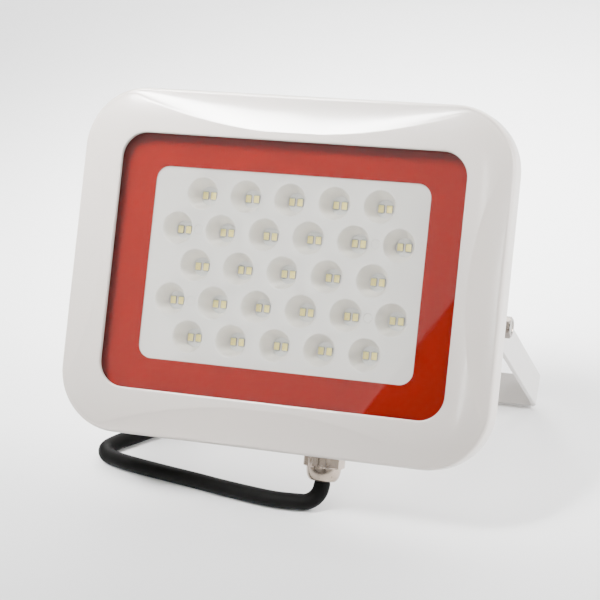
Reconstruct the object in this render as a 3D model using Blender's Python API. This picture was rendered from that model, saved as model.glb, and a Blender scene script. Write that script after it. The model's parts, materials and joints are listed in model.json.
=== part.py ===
# LED floodlight on a U bracket: lamp head, cable gland, short rubber lead and swivelling bracket.
# Metres, +Z up. The lamp stands on a floor at z = 0, leaning back on its folded-back bracket
# and on the bend of its lead. The head is modelled upright in its own frame, whose y = 0 is the
# back plane of the bezel: x runs to the right, y to the back and z up. Depths run towards the
# front, so a depth d lies at y = -d.
import bpy
import bmesh
from math import asin, atan2, cos, hypot, pi, radians, sin
from mathutils import Matrix, Vector

MM = 0.001
FIT = 0.3 * MM
OVERRUN = 1.0 * MM

# Bezel
BEZEL_WIDTH = 193.2 * MM
BEZEL_HEIGHT = 150.6 * MM
BEZEL_CORNER = 27.0 * MM
SIDE_FRAME = 19.2 * MM
END_FRAME = 20.0 * MM
OPENING_WIDTH = BEZEL_WIDTH - 2 * SIDE_FRAME
OPENING_HEIGHT = BEZEL_HEIGHT - 2 * END_FRAME
OPENING_CORNER = 11.0 * MM
BEZEL_WALL = 2.5 * MM
BEZEL_DEPTH = 13.6 * MM
EDGE_DEPTH = 11.6 * MM
EDGE_ROUND = 1.4 * MM
EDGE_RADIUS = 2.6 * MM
LIP = 1.2 * MM
LIP_GAP = 0.2 * MM
RIB = 2.2 * MM
BEZEL_ROOF = 0.6 * MM
BOSS_GAP = 1.2 * MM
LONG_CRESCENT = 16.9 * MM
LONG_CRESCENT_RADIUS = 205.0 * MM
SHORT_CRESCENT = 14.7 * MM
SHORT_CRESCENT_RADIUS = 125.0 * MM
LONG_STEPS = 6
SHORT_STEPS = 5
ARC_STEPS = 5

# Glass with its printed border, and the gasket round its edge
GLASS_THICK = 4.0 * MM
GLASS_LAP = 3.2 * MM
PRINT_THICK = 0.15 * MM
PRINT_SIDE = 15.5 * MM
PRINT_END = 13.5 * MM
WINDOW_WIDTH = OPENING_WIDTH - 2 * PRINT_SIDE
WINDOW_HEIGHT = OPENING_HEIGHT - 2 * PRINT_END
WINDOW_CORNER = 6.0 * MM
EDGE_GASKET = 1.1 * MM

# LED board, its chips and the reflector with one cup for each pair of chips
LED_ROWS = (5, 6, 5, 6, 5)
LED_SIDE = 11.9 * MM
LED_END = 10.8 * MM
LED_PITCH_X = (WINDOW_WIDTH - 2 * LED_SIDE) / (max(LED_ROWS) - 1)
LED_PITCH_Z = (WINDOW_HEIGHT - 2 * LED_END) / (len(LED_ROWS) - 1)
CHIP = (2.8 * MM, 0.8 * MM, 3.5 * MM)
CHIP_SPACING = 3.66 * MM
BOARD_THICK = 1.6 * MM
BOARD_MARGIN = 10.5 * MM
CUP_RIM = 7.0 * MM
CUP_FLOOR = 4.0 * MM
CUP_WALL = 1.0 * MM
CUP_DEPTH = 8.85 * MM
CUP_SIDES = 10
REFLECTOR_THICK = 1.1 * MM
PIN_RADIUS = 2.0 * MM
PIN_TIP = 1.2 * MM
PIN_COLUMN = 2
POST_WALL = 0.8 * MM
BOARD_CORNER = 3.0 * MM
PAD_CORNER = 2.0 * MM
PAD_THICK = 0.4 * MM
PAD_INSET = 5.5 * MM

# Housing: a tray in front, a driver bay behind and cooling slots beside the bay
FLANGE = 3.0 * MM
TRAY_WALL = 3.4 * MM
PLATE = 3.1 * MM
HOUSING_DEPTH = 24.0 * MM
DRAFT = 2.5 * MM
DRAFT_EDGE = 1.6 * MM
SLOT_BAND = 29.4 * MM
BAY_WALL = 5.2 * MM
BAY_WIDTH = OPENING_WIDTH - 2 * SLOT_BAND
BAY_CORNER = 8.0 * MM
SLOTS = 4
SLOT_WIDTH = 3.6 * MM
SLOT_PITCH = 6.5 * MM
SLOT_FLOOR = 11.0 * MM
GASKET_THICK = 1.0 * MM
GASKET_WIDTH = 2.4 * MM
COVER_THICK = 2.4 * MM
COVER_RIM = 8.4 * MM
COVER_EDGE = 0.8 * MM
COVER_TO_SLOTS = 0.4 * MM
PANEL_HEIGHT = 1.0 * MM
PANEL_INSET = 10.0 * MM

# Screws: (shank radius, head radius, head height)
BEZEL_SCREW = (1.6 * MM, 3.4 * MM, 2.4 * MM)
COVER_SCREW = (1.5 * MM, 2.7 * MM, 2.0 * MM)
BEZEL_SCREW_LENGTH = 10.0 * MM
COVER_SCREW_LENGTH = 10.0 * MM
DRIVER_SCREW_LENGTH = 4.4 * MM
BOSS_RADIUS = 3.4 * MM
BEZEL_SCREW_EDGE = 7.4 * MM
BEZEL_SCREW_LONG = BEZEL_WIDTH / 2 - 38.6 * MM
BEZEL_SCREW_SHORT = BEZEL_HEIGHT / 2 - 37.3 * MM
COVER_SCREW_EDGE = 5.2 * MM
COVER_SCREW_END = 9.0 * MM
SCREW_SIDES = 8
HOLE_SIDES = 8

# Driver in the bay
DRIVER_SIDE = 8.0 * MM
DRIVER_BOARD = (BAY_WIDTH - 2 * DRIVER_SIDE, 1.6 * MM, 60.0 * MM)
DRIVER_BOARD_Z = -4.0 * MM
STANDOFF = 3.2 * MM
STANDOFF_RADIUS = 3.0 * MM
STANDOFF_EDGE = 4.0 * MM
TERMINAL_BLOCK = (17.0 * MM, 8.6 * MM, 12.0 * MM)
TRANSFORMER = (20.0 * MM, 9.6 * MM, 17.0 * MM)
CAPACITOR_RADIUS = 4.6 * MM
CAPACITOR_LENGTH = 15.0 * MM
CAPACITOR_EDGE = 0.6 * MM
CHOKE_RADIUS = 6.0 * MM
CHOKE_HEIGHT = 7.0 * MM
WIRE_RADIUS = 0.7 * MM
WIRE_HOLE = 3.4 * MM
WIRE_Z = 37.5 * MM
WIRE_INLET = 4.0 * MM

# Cable gland, in the bottom wall, with its threaded boss
GLAND_SIDE = 27.8 * MM
GLAND_X = BAY_WIDTH / 2 - GLAND_SIDE
GLAND_Y = 14.6 * MM
GLAND_BOSS = 6.3 * MM
GLAND_BOSS_RADIUS = 9.3 * MM
GLAND_BOSS_ROOT = 1.2 * MM
GLAND_THREAD = 6.0 * MM
GLAND_WASHER = 1.0 * MM
GLAND_FLATS = 17.0 * MM
GLAND_FLANGE = 3.8 * MM
NECK_STEP = 0.6 * MM
NUT_FLATS = 16.0 * MM
NUT_HEX = 5.9 * MM
NUT_DOME = 5.8 * MM
NUT_END = 4.7 * MM
NUT_STEP = 0.5 * MM
DOME_STEPS = 3
HEX_SIDES = 24

# Lead: outer radius, and its three cores
LEAD_RADIUS = 3.55 * MM
LEAD_STEP = 5.6 * MM
LEAD_HEIGHT = 12.0 * MM
CORE_RADIUS = 1.25 * MM
CORE_LENGTH = 30.0 * MM

# Bracket, folded from flat strip, and its pivot hardware
PIVOT_Y = 15.8 * MM
PIVOT_Z = -13.1 * MM
BRACKET_ANGLE = radians(-15.9)
STRIP_WIDTH = 14.6 * MM
STRIP_THICK = 2.0 * MM
ARM_REACH = 95.0 * MM
FOLD_RADIUS = 1.8 * MM
FOLD_STEPS = 4
END_STEPS = 5
BOSS_HEIGHT = 2.6 * MM
PIVOT_BOSS = 8.0 * MM
FRICTION_WASHER = 0.8 * MM
BOLT_RADIUS = 2.5 * MM
BOLT_FLATS = 8.0 * MM
BOLT_SIDES = 12
BOLT_HEAD = 3.2 * MM
BOLT_LENGTH = 14.0 * MM
BOLT_WASHER = 0.9 * MM
WASHER_RADIUS = 5.0 * MM
FIXING_HOLE = 4.5 * MM
FIXING_SLOT = (20.0 * MM, 8.0 * MM)
FIXING_SPACING = 100.0 * MM
ROUND_SIDES = 18

# Derived places along the depth
GLASS_FRONT = BEZEL_DEPTH - LIP - LIP_GAP - 2 * FIT
GLASS_BACK = GLASS_FRONT - GLASS_THICK
PRINT_FRONT = GLASS_BACK - FIT
REFLECTOR_FRONT = PRINT_FRONT - PRINT_THICK - FIT
REFLECTOR_BACK = REFLECTOR_FRONT - CUP_DEPTH
BOARD_FRONT = REFLECTOR_BACK - FIT
PAD_FRONT = BOARD_FRONT - BOARD_THICK - FIT
PLATE_FRONT = -(PAD_FRONT - PAD_THICK - FIT)
PLATE_BACK = PLATE_FRONT + PLATE
FLANGE_FRONT = FIT
FLANGE_BACK = FLANGE_FRONT + FLANGE
RIB_END = GASKET_THICK + FIT
DRIVER_BACK = PLATE_BACK + STANDOFF + FIT
DRIVER_FRONT = DRIVER_BACK + DRIVER_BOARD[1]
COVER_FRONT = HOUSING_DEPTH + GASKET_THICK + 2 * FIT
COVER_BACK = COVER_FRONT + COVER_THICK
REBATE = GLASS_LAP + EDGE_GASKET + 2 * FIT
TRAY_OUT = REBATE + RIB + FIT
BAY_HEIGHT = OPENING_HEIGHT + 2 * (TRAY_OUT - DRAFT - BAY_WALL)
COVER_SCREW_ROWS = BAY_HEIGHT / 2 - COVER_SCREW_END
BOSS_FACE = OPENING_WIDTH / 2 + TRAY_OUT + BOSS_HEIGHT
GLAND_FACE = -(OPENING_HEIGHT / 2 + TRAY_OUT + GLAND_BOSS)
GLAND_BODY_TOP = GLAND_FACE - GLAND_WASHER - 2 * FIT
NUT_TOP = GLAND_BODY_TOP - GLAND_FLANGE - FIT
NUT_BOTTOM = NUT_TOP - NUT_HEX - NUT_DOME
BORE = LEAD_RADIUS + FIT
ARM_INSIDE = BOSS_FACE + FRICTION_WASHER + 2 * FIT
ARM_OUTSIDE = ARM_INSIDE + STRIP_THICK
HEAD_FACE = ARM_OUTSIDE + BOLT_WASHER + 2 * FIT


def clear_scene():
    for item in list(bpy.data.objects):
        bpy.data.objects.remove(item, do_unlink=True)


def principled(name, colour, roughness, metallic=0.0):
    material = bpy.data.materials.new(name)
    material.use_nodes = True
    shader = material.node_tree.nodes["Principled BSDF"]
    shader.inputs["Base Color"].default_value = (*colour, 1.0)
    shader.inputs["Roughness"].default_value = roughness
    shader.inputs["Metallic"].default_value = metallic
    material.diffuse_color = (*colour, 1.0)
    return material


def add_object(name, mesh, material, parent=None):
    item = bpy.data.objects.new(name, mesh)
    bpy.context.scene.collection.objects.link(item)
    item.parent = parent
    if material:
        mesh.materials.clear()
        mesh.materials.append(material)
    return item


def solid(name, loops, material, parent=None, ring=False):
    """A closed solid through equal loops of points: capped at both ends, or joined into a ring."""
    bm = bmesh.new()
    rows = [[bm.verts.new(point) for point in loop] for loop in loops]
    pairs = list(zip(rows, rows[1:]))
    if ring:
        pairs.append((rows[-1], rows[0]))
    else:
        bm.faces.new(rows[0])
        bm.faces.new(rows[-1])
    for near, far in pairs:
        for i in range(len(near)):
            j = (i + 1) % len(near)
            bm.faces.new((near[i], near[j], far[j], far[i]))
    bmesh.ops.recalc_face_normals(bm, faces=bm.faces)
    mesh = bpy.data.meshes.new(name)
    bm.to_mesh(mesh)
    bm.free()
    return add_object(name, mesh, material, parent)


def smooth(item, angle=35):
    item.data.shade_smooth()
    item.data.set_sharp_from_angle(angle=radians(angle))
    return item


def round_loop(radius, height, sides, flats=False):
    """Points round the local Z axis: a circle, or a hexagon whose inradius is `radius`."""
    points = []
    for i in range(sides):
        turn = 2 * pi * i / sides
        reach = radius / cos((turn + pi / 6) % (pi / 3) - pi / 6) if flats else radius
        points.append((reach * cos(turn), reach * sin(turn), height))
    return points


AXES = {
    "+X": Matrix.Rotation(pi / 2, 4, "Y"),
    "-X": Matrix.Rotation(-pi / 2, 4, "Y"),
    "+Y": Matrix.Rotation(-pi / 2, 4, "X"),
    "-Y": Matrix.Rotation(pi / 2, 4, "X"),
    "+Z": Matrix.Identity(4),
    "-Z": Matrix.Rotation(pi, 4, "X"),
}


def turned(name, profile, material, centre, axis, parent=None, sides=ROUND_SIDES, bore=False):
    """A turned piece from (radius, height) or (radius, height, True) for a hexagonal station."""
    loops = [round_loop(step[0], step[1], sides, len(step) > 2) for step in profile]
    item = solid(name, loops, material, parent, ring=bore)
    item.matrix_basis = Matrix.Translation(centre) @ AXES[axis]
    return smooth(item)


def box(name, low, high, material, parent=None):
    corners = [(low[0], low[1]), (high[0], low[1]), (high[0], high[1]), (low[0], high[1])]
    loops = [[(x, y, z) for x, y in corners] for z in (low[2], high[2])]
    return solid(name, loops, material, parent)


def joined(name, items):
    """One tool made of several separate ones."""
    bm = bmesh.new()
    for item in items:
        part = item.data.copy()
        part.transform(item.matrix_basis)
        bm.from_mesh(part)
        bpy.data.objects.remove(item, do_unlink=True)
    mesh = bpy.data.meshes.new(name)
    bm.to_mesh(mesh)
    bm.free()
    return add_object(name, mesh, None)


def combine(target, operation, tools):
    """Cuts tools from the target, joins them to it or keeps what they share, then drops them."""
    tool = joined("tool", tools)
    tool.parent = target.parent
    step = target.modifiers.new(operation, "BOOLEAN")
    step.operation = operation
    step.solver = "EXACT"
    step.object = tool
    bpy.context.view_layer.update()
    shaped = target.evaluated_get(bpy.context.evaluated_depsgraph_get())
    mesh = bpy.data.meshes.new_from_object(shaped)
    materials = list(target.data.materials)
    mesh.materials.clear()
    for material in materials:
        mesh.materials.append(material)
    target.modifiers.clear()
    target.data = mesh
    bpy.data.objects.remove(tool, do_unlink=True)
    return target


def outline(width, height, corner, long_steps=1, short_steps=1):
    """A rounded rectangle in X and Z, as stations (x, z, outward x, outward z)."""
    cx = width / 2 - corner
    cz = height / 2 - corner
    corners = ((1, 1), (-1, 1), (-1, -1), (1, -1))
    stations = []
    for k, (sx, sz) in enumerate(corners):
        for i in range(ARC_STEPS + 1):
            turn = pi / 2 * (k + i / ARC_STEPS)
            nx, nz = cos(turn), sin(turn)
            stations.append((sx * cx + corner * nx, sz * cz + corner * nz, nx, nz))
        tx, tz = corners[(k + 1) % 4]
        end = (tx * cx + corner * nx, tz * cz + corner * nz)
        steps = long_steps if k % 2 == 0 else short_steps
        start = stations[-1]
        for i in range(1, steps):
            x, z = (a + (b - a) * i / steps for a, b in zip(start, end))
            stations.append((x, z, nx, nz))
    return stations


def nest(long_steps=1, short_steps=1):
    """Matching stations of the bezel's outer edge and of its opening."""
    outer = outline(BEZEL_WIDTH, BEZEL_HEIGHT, BEZEL_CORNER, long_steps, short_steps)
    opening = outline(OPENING_WIDTH, OPENING_HEIGHT, OPENING_CORNER, long_steps, short_steps)
    return list(zip(outer, opening))


def span(pair):
    """The bezel's width at a pair of stations, measured square to its edge."""
    outer, opening = pair
    return (outer[0] - opening[0]) * outer[2] + (outer[1] - opening[1]) * outer[3]


def across(pair, distance):
    """The point `distance` inwards from the bezel's outer edge at a pair of stations."""
    share = distance / span(pair)
    outer, opening = pair
    return tuple(a + (b - a) * share for a, b in zip(outer[:2], opening[:2]))


PLAIN = nest()
FINE = nest(LONG_STEPS, SHORT_STEPS)


def from_edge(distance):
    return [across(pair, distance) for pair in PLAIN]


def from_opening(distance):
    return [across(pair, span(pair) - distance) for pair in PLAIN]


def at(points, y):
    return [(point[0], y, point[1]) for point in points]


def slab(name, points, front, back, material, parent=None):
    return solid(name, [at(points, front), at(points, back)], material, parent)


def frame(name, outer, inner, front, back, material, parent=None):
    loops = [at(outer, front), at(outer, back), at(inner, back), at(inner, front)]
    return solid(name, loops, material, parent, ring=True)


def crown(pair, distance):
    """Depth of the bezel's rounded face at `distance` from its outer edge."""
    share = (distance - EDGE_ROUND) / (span(pair) - EDGE_ROUND)
    return BEZEL_DEPTH - (BEZEL_DEPTH - EDGE_DEPTH) * (1 - share) ** 3


def crease(pair):
    """Where the flat crescent cut into the face meets the rounded part, as a distance inwards."""
    most = span(pair) - 2.5 * EDGE_ROUND
    reach = 1.6 * EDGE_ROUND
    for half, sag, radius, side in (
        (BEZEL_HEIGHT / 2, LONG_CRESCENT, LONG_CRESCENT_RADIUS, 1),
        (BEZEL_WIDTH / 2, SHORT_CRESCENT, SHORT_CRESCENT_RADIUS, 0),
    ):
        low, high = EDGE_ROUND, most
        for _ in range(30):
            middle = (low + high) / 2
            point = across(pair, middle)
            inside = half - abs(point[side]) < sag - point[1 - side] ** 2 / (2 * radius)
            low, high = (middle, high) if inside else (low, middle)
        reach = max(reach, low)
    return reach


def make_bezel(paint, head):
    edge, radius = EDGE_ROUND, EDGE_RADIUS
    lip_back = GLASS_FRONT + FIT
    roof = EDGE_DEPTH - BEZEL_ROOF
    sections = []
    for pair in FINE:
        wide = span(pair)
        fold = crease(pair)
        section = [(0, 0), (0, EDGE_DEPTH - radius), (0.3 * edge, EDGE_DEPTH - 0.35 * radius),
                   (edge, EDGE_DEPTH)]
        for share in (0, 0.3, 0.65):
            place = fold + (wide - edge - fold) * share
            section.append((place, crown(pair, place)))
        section += [
            (wide - 0.6 * edge, BEZEL_DEPTH), (wide, BEZEL_DEPTH - 0.5 * LIP), (wide, lip_back),
            (wide - REBATE, lip_back), (wide - REBATE, RIB_END), (wide - REBATE - RIB, RIB_END),
            (wide - REBATE - RIB, roof), (BEZEL_WALL, EDGE_DEPTH - BEZEL_WALL), (BEZEL_WALL, 0),
        ]
        points = [(across(pair, inwards), depth) for inwards, depth in section]
        sections.append([(x, -depth, z) for (x, z), depth in points])
    bezel = solid("bezel", zip(*sections), paint, head, ring=True)
    height = EDGE_DEPTH - BOSS_GAP
    bosses = [stick(x, z, 0, -height, BOSS_RADIUS) for x, z in bezel_screw_places()]
    combine(bezel, "UNION", bosses)
    depth = -(BEZEL_SCREW_LENGTH - FLANGE + OVERRUN)
    pilots = [stick(x, z, OVERRUN, depth, BEZEL_SCREW[0] + FIT) for x, z in bezel_screw_places()]
    combine(bezel, "DIFFERENCE", pilots)
    return smooth(bezel, 25)


def stick(x, z, front, back, radius, sides=SCREW_SIDES):
    """A round tool along Y."""
    span = back - front
    profile = [(radius, 0), (radius, abs(span))]
    return turned("stick", profile, None, (x, front, z), "+Y" if span > 0 else "-Y", sides=sides)


def bezel_screw_places():
    x = BEZEL_WIDTH / 2 - BEZEL_SCREW_EDGE
    z = BEZEL_HEIGHT / 2 - BEZEL_SCREW_EDGE
    places = [(sx * BEZEL_SCREW_LONG, sz * z) for sx in (-1, 1) for sz in (-1, 1)]
    places += [(sx * x, sz * BEZEL_SCREW_SHORT) for sx in (-1, 1) for sz in (-1, 1)]
    return places


def cover_screw_places():
    x = BAY_WIDTH / 2 + COVER_SCREW_EDGE
    return [(sx * x, row * COVER_SCREW_ROWS) for sx in (-1, 1) for row in (-1, 0, 1)]


def driver_screw_places():
    x = DRIVER_BOARD[0] / 2 - STANDOFF_EDGE
    z = DRIVER_BOARD[2] / 2 - STANDOFF_EDGE
    return [(sx * x, DRIVER_BOARD_Z + sz * z) for sx in (-1, 1) for sz in (-1, 1)]


def led_places():
    """Centres of the cups: odd rows are shifted by half a pitch."""
    middle = (len(LED_ROWS) - 1) / 2
    places = []
    for row, count in enumerate(LED_ROWS):
        for column in range(count):
            x = (column - (count - 1) / 2) * LED_PITCH_X
            places.append((x, (middle - row) * LED_PITCH_Z))
    return places


def pin_places():
    x = PIN_COLUMN * LED_PITCH_X
    return [(sx * x, sz * LED_PITCH_Z) for sx in (-1, 1) for sz in (-1, 1)]


def screw(name, sizes, length, x, z, y, material, head):
    """A pan-head screw driven towards the front, its head's underside at y."""
    shank, radius, height = sizes
    profile = [
        (shank, -length), (shank, 0), (radius, 0), (radius, 0.5 * height), (0.5 * radius, height),
    ]
    return turned(name, profile, material, (x, y, z), "+Y", head, sides=SCREW_SIDES)


def make_glass(materials, head):
    slab("glass", from_opening(GLASS_LAP), -GLASS_FRONT, -GLASS_BACK, materials["glass"], head)
    window = outline(WINDOW_WIDTH, WINDOW_HEIGHT, WINDOW_CORNER)
    back = -(PRINT_FRONT - PRINT_THICK)
    frame("glass_print", from_opening(GLASS_LAP), window, -PRINT_FRONT, back,
          materials["print"], head)
    gasket = (from_opening(REBATE - FIT), from_opening(GLASS_LAP + FIT))
    frame("glass_gasket", *gasket, -GLASS_FRONT, -GLASS_BACK, materials["silicone"], head)
    rib = (from_opening(REBATE + RIB), from_opening(REBATE))
    frame("bezel_gasket", *rib, -GASKET_THICK, 0, materials["silicone"], head)


def cone(x, z, wall, over):
    """A cup's cone along Y, grown by a wall and run `over` past both of its ends."""
    slope = (CUP_RIM - CUP_FLOOR) / CUP_DEPTH
    rim = CUP_RIM + wall + slope * over
    floor = CUP_FLOOR + wall - slope * over
    profile = [(rim, 0), (floor, CUP_DEPTH + 2 * over)]
    return turned("cone", profile, None, (x, -REFLECTOR_FRONT - over, z), "+Y", sides=CUP_SIDES)


def make_reflector(materials, head):
    back = -(REFLECTOR_FRONT - REFLECTOR_THICK)
    plate = slab("reflector", from_opening(GLASS_LAP), -REFLECTOR_FRONT, back,
                 materials["reflector"], head)
    skirts = []
    for x, z in led_places():
        skirt = cone(x, z, CUP_WALL, 0)
        skirt.location.y += 0.4 * REFLECTOR_THICK
        skirt.scale.z = 1 - 0.4 * REFLECTOR_THICK / CUP_DEPTH
        skirts.append(skirt)
    bpy.context.view_layer.update()
    combine(plate, "UNION", skirts)
    middle = -(REFLECTOR_FRONT - 0.5 * REFLECTOR_THICK)
    post = PIN_RADIUS + FIT + POST_WALL
    posts = [stick(x, z, middle, -REFLECTOR_BACK, post) for x, z in pin_places()]
    combine(plate, "UNION", posts)
    combine(plate, "DIFFERENCE", [cone(x, z, 0, 0.1 * OVERRUN) for x, z in led_places()])
    front = -REFLECTOR_FRONT - OVERRUN
    behind = -REFLECTOR_BACK + OVERRUN
    holes = [stick(x, z, front, behind, PIN_RADIUS + FIT) for x, z in pin_places()]
    combine(plate, "DIFFERENCE", holes)
    smooth(plate)
    length = REFLECTOR_FRONT - REFLECTOR_BACK
    tip = PLATE_FRONT + 0.6 * PLATE + REFLECTOR_FRONT
    profile = [(PIN_RADIUS, 0), (PIN_RADIUS, length), (PIN_TIP, length), (PIN_TIP, tip)]
    for i, (x, z) in enumerate(pin_places(), 1):
        turned(f"reflector_pin_{i}", profile, materials["reflector"], (x, -REFLECTOR_FRONT, z),
               "+Y", head, sides=SCREW_SIDES)


def make_led_board(materials, head):
    width = (max(LED_ROWS) - 1) * LED_PITCH_X + 2 * BOARD_MARGIN
    height = (len(LED_ROWS) - 1) * LED_PITCH_Z + 2 * BOARD_MARGIN
    points = outline(width, height, BOARD_CORNER)
    back = -(BOARD_FRONT - BOARD_THICK)
    board = slab("led_board", points, -BOARD_FRONT, back, materials["board"], head)
    half = [size / 2 for size in CHIP]
    chips = []
    for x, z in led_places():
        for side in (-1, 1):
            cx = x + side * CHIP_SPACING / 2
            low = (cx - half[0], -BOARD_FRONT - CHIP[1], z - half[2])
            high = (cx + half[0], -BOARD_FRONT + 0.3 * OVERRUN, z + half[2])
            chips.append(box("chip", low, high, None))
    combine(board, "UNION", chips)
    front = -BOARD_FRONT - OVERRUN
    holes = [stick(x, z, front, back + OVERRUN, PIN_TIP + FIT) for x, z in pin_places()]
    combine(board, "DIFFERENCE", holes)
    width -= 2 * PAD_INSET
    height -= 2 * PAD_INSET
    pad_back = -(PAD_FRONT - PAD_THICK)
    pad = slab("thermal_pad", outline(width, height, PAD_CORNER), -PAD_FRONT, pad_back,
               materials["pad"], head)
    front = -PAD_FRONT - OVERRUN
    holes = [stick(x, z, front, pad_back + OVERRUN, PIN_TIP + FIT) for x, z in pin_places()]
    combine(pad, "DIFFERENCE", holes)


def slot_tools():
    """Cooling slots up and down the back, outside the driver bay's cover."""
    first = BAY_WIDTH / 2 + COVER_RIM + COVER_TO_SLOTS + SLOT_WIDTH / 2
    reach = BEZEL_HEIGHT / 2
    tools = []
    for side in (-1, 1):
        for k in range(SLOTS):
            x = side * (first + k * SLOT_PITCH)
            low = (x - SLOT_WIDTH / 2, SLOT_FLOOR, -reach)
            high = (x + SLOT_WIDTH / 2, HOUSING_DEPTH + OVERRUN, reach)
            tools.append(box("slot", low, high, None))
    return tools


def make_housing(materials, head):
    bay = outline(BAY_WIDTH, BAY_HEIGHT, BAY_CORNER)
    tray = from_opening(TRAY_OUT - TRAY_WALL)
    loops = [
        at(tray, PLATE_FRONT), at(tray, FLANGE_FRONT), at(from_edge(EDGE_ROUND), FLANGE_FRONT),
        at(from_edge(EDGE_ROUND), FLANGE_BACK), at(from_opening(TRAY_OUT), FLANGE_BACK),
        at(from_opening(TRAY_OUT - 0.6 * DRAFT), HOUSING_DEPTH - DRAFT_EDGE),
        at(from_opening(TRAY_OUT - DRAFT), HOUSING_DEPTH), at(bay, HOUSING_DEPTH),
        at(bay, PLATE_BACK),
    ]
    housing = solid("housing", loops, materials["paint"], head)
    combine(housing, "DIFFERENCE", slot_tools())
    slope_side = OPENING_WIDTH / 2 + TRAY_OUT
    bosses = []
    for side, axis in ((-1, "-X"), (1, "+X")):
        root = slope_side - 2.2 * SLOT_PITCH
        profile = [(PIVOT_BOSS, 0), (PIVOT_BOSS, BOSS_FACE - root)]
        bosses.append(turned("boss", profile, None, (side * root, PIVOT_Y, PIVOT_Z), axis))
    root = -(BAY_HEIGHT / 2 + GLAND_BOSS_ROOT)
    profile = [(GLAND_BOSS_RADIUS, 0), (GLAND_BOSS_RADIUS, root - GLAND_FACE)]
    bosses.append(turned("boss", profile, None, (GLAND_X, GLAND_Y, root), "-Z"))
    combine(housing, "UNION", bosses)
    posts = [stick(x, z, PLATE_BACK - 0.5 * OVERRUN, PLATE_BACK + STANDOFF, STANDOFF_RADIUS)
             for x, z in driver_screw_places()]
    combine(housing, "UNION", posts)
    tools = []
    for side, axis in ((-1, "+X"), (1, "-X")):
        profile = [(BOLT_RADIUS + FIT, 0), (BOLT_RADIUS + FIT, BOLT_LENGTH)]
        start = side * (BOSS_FACE + OVERRUN)
        tools.append(turned("hole", profile, None, (start, PIVOT_Y, PIVOT_Z), axis, sides=16))
    bore = -BAY_HEIGHT / 2 - GLAND_FACE + 2 * OVERRUN
    profile = [(GLAND_THREAD + FIT, 0), (GLAND_THREAD + FIT, bore)]
    tools.append(turned("hole", profile, None, (GLAND_X, GLAND_Y, GLAND_FACE - OVERRUN), "+Z"))
    for x, z in bezel_screw_places():
        tools.append(stick(x, z, 0, FLANGE_BACK + OVERRUN, BEZEL_SCREW[0] + 2 * FIT))
    for x, z in cover_screw_places():
        end = HOUSING_DEPTH - COVER_SCREW_LENGTH + COVER_THICK
        tools.append(stick(x, z, HOUSING_DEPTH + OVERRUN, end, COVER_SCREW[0] + FIT, HOLE_SIDES))
    for x, z in driver_screw_places():
        tools.append(stick(x, z, PLATE_BACK + STANDOFF + OVERRUN, PLATE_BACK - OVERRUN,
                           COVER_SCREW[0] + FIT, HOLE_SIDES))
    front = PLATE_FRONT - OVERRUN
    for x, z in pin_places():
        tools.append(stick(x, z, front, PLATE_FRONT + 0.75 * PLATE, PIN_TIP + FIT, HOLE_SIDES))
    tools.append(stick(0, WIRE_Z, front, PLATE_BACK + OVERRUN, WIRE_HOLE))
    combine(housing, "DIFFERENCE", tools)
    smooth(housing, 30)


def make_cover(materials, head):
    inner = outline(BAY_WIDTH + 2 * FIT, BAY_HEIGHT + 2 * FIT, BAY_CORNER)
    grown = 2 * (FIT + GASKET_WIDTH)
    outer = outline(BAY_WIDTH + grown, BAY_HEIGHT + grown, BAY_CORNER + GASKET_WIDTH)
    front = HOUSING_DEPTH + FIT
    frame("rear_gasket", outer, inner, front, front + GASKET_THICK, materials["silicone"], head)
    width = BAY_WIDTH + 2 * COVER_RIM
    height = BAY_HEIGHT + COVER_RIM
    corner = BAY_CORNER + COVER_RIM / 2

    def ring(inset, y):
        return at(outline(width - 2 * inset, height - 2 * inset, corner - 0.5 * inset), y)

    loops = [
        ring(0, COVER_FRONT), ring(0, COVER_BACK - COVER_EDGE), ring(COVER_EDGE, COVER_BACK),
        ring(PANEL_INSET, COVER_BACK), ring(PANEL_INSET + PANEL_HEIGHT, COVER_BACK + PANEL_HEIGHT),
    ]
    cover = solid("rear_cover", loops, materials["paint"], head)
    front = COVER_FRONT - OVERRUN
    holes = [stick(x, z, front, COVER_BACK + OVERRUN, COVER_SCREW[0] + FIT, HOLE_SIDES)
             for x, z in cover_screw_places()]
    combine(cover, "DIFFERENCE", holes)
    smooth(cover, 25)


def make_screws(materials, head):
    steel = materials["steel"]
    for i, (x, z) in enumerate(bezel_screw_places(), 1):
        screw(f"bezel_screw_{i}", BEZEL_SCREW, BEZEL_SCREW_LENGTH, x, z, FLANGE_BACK + FIT,
              steel, head)
    for i, (x, z) in enumerate(cover_screw_places(), 1):
        screw(f"cover_screw_{i}", COVER_SCREW, COVER_SCREW_LENGTH, x, z, COVER_BACK + FIT,
              steel, head)
    for i, (x, z) in enumerate(driver_screw_places(), 1):
        screw(f"driver_screw_{i}", COVER_SCREW, DRIVER_SCREW_LENGTH, x, z, DRIVER_FRONT + FIT,
              steel, head)


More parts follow.
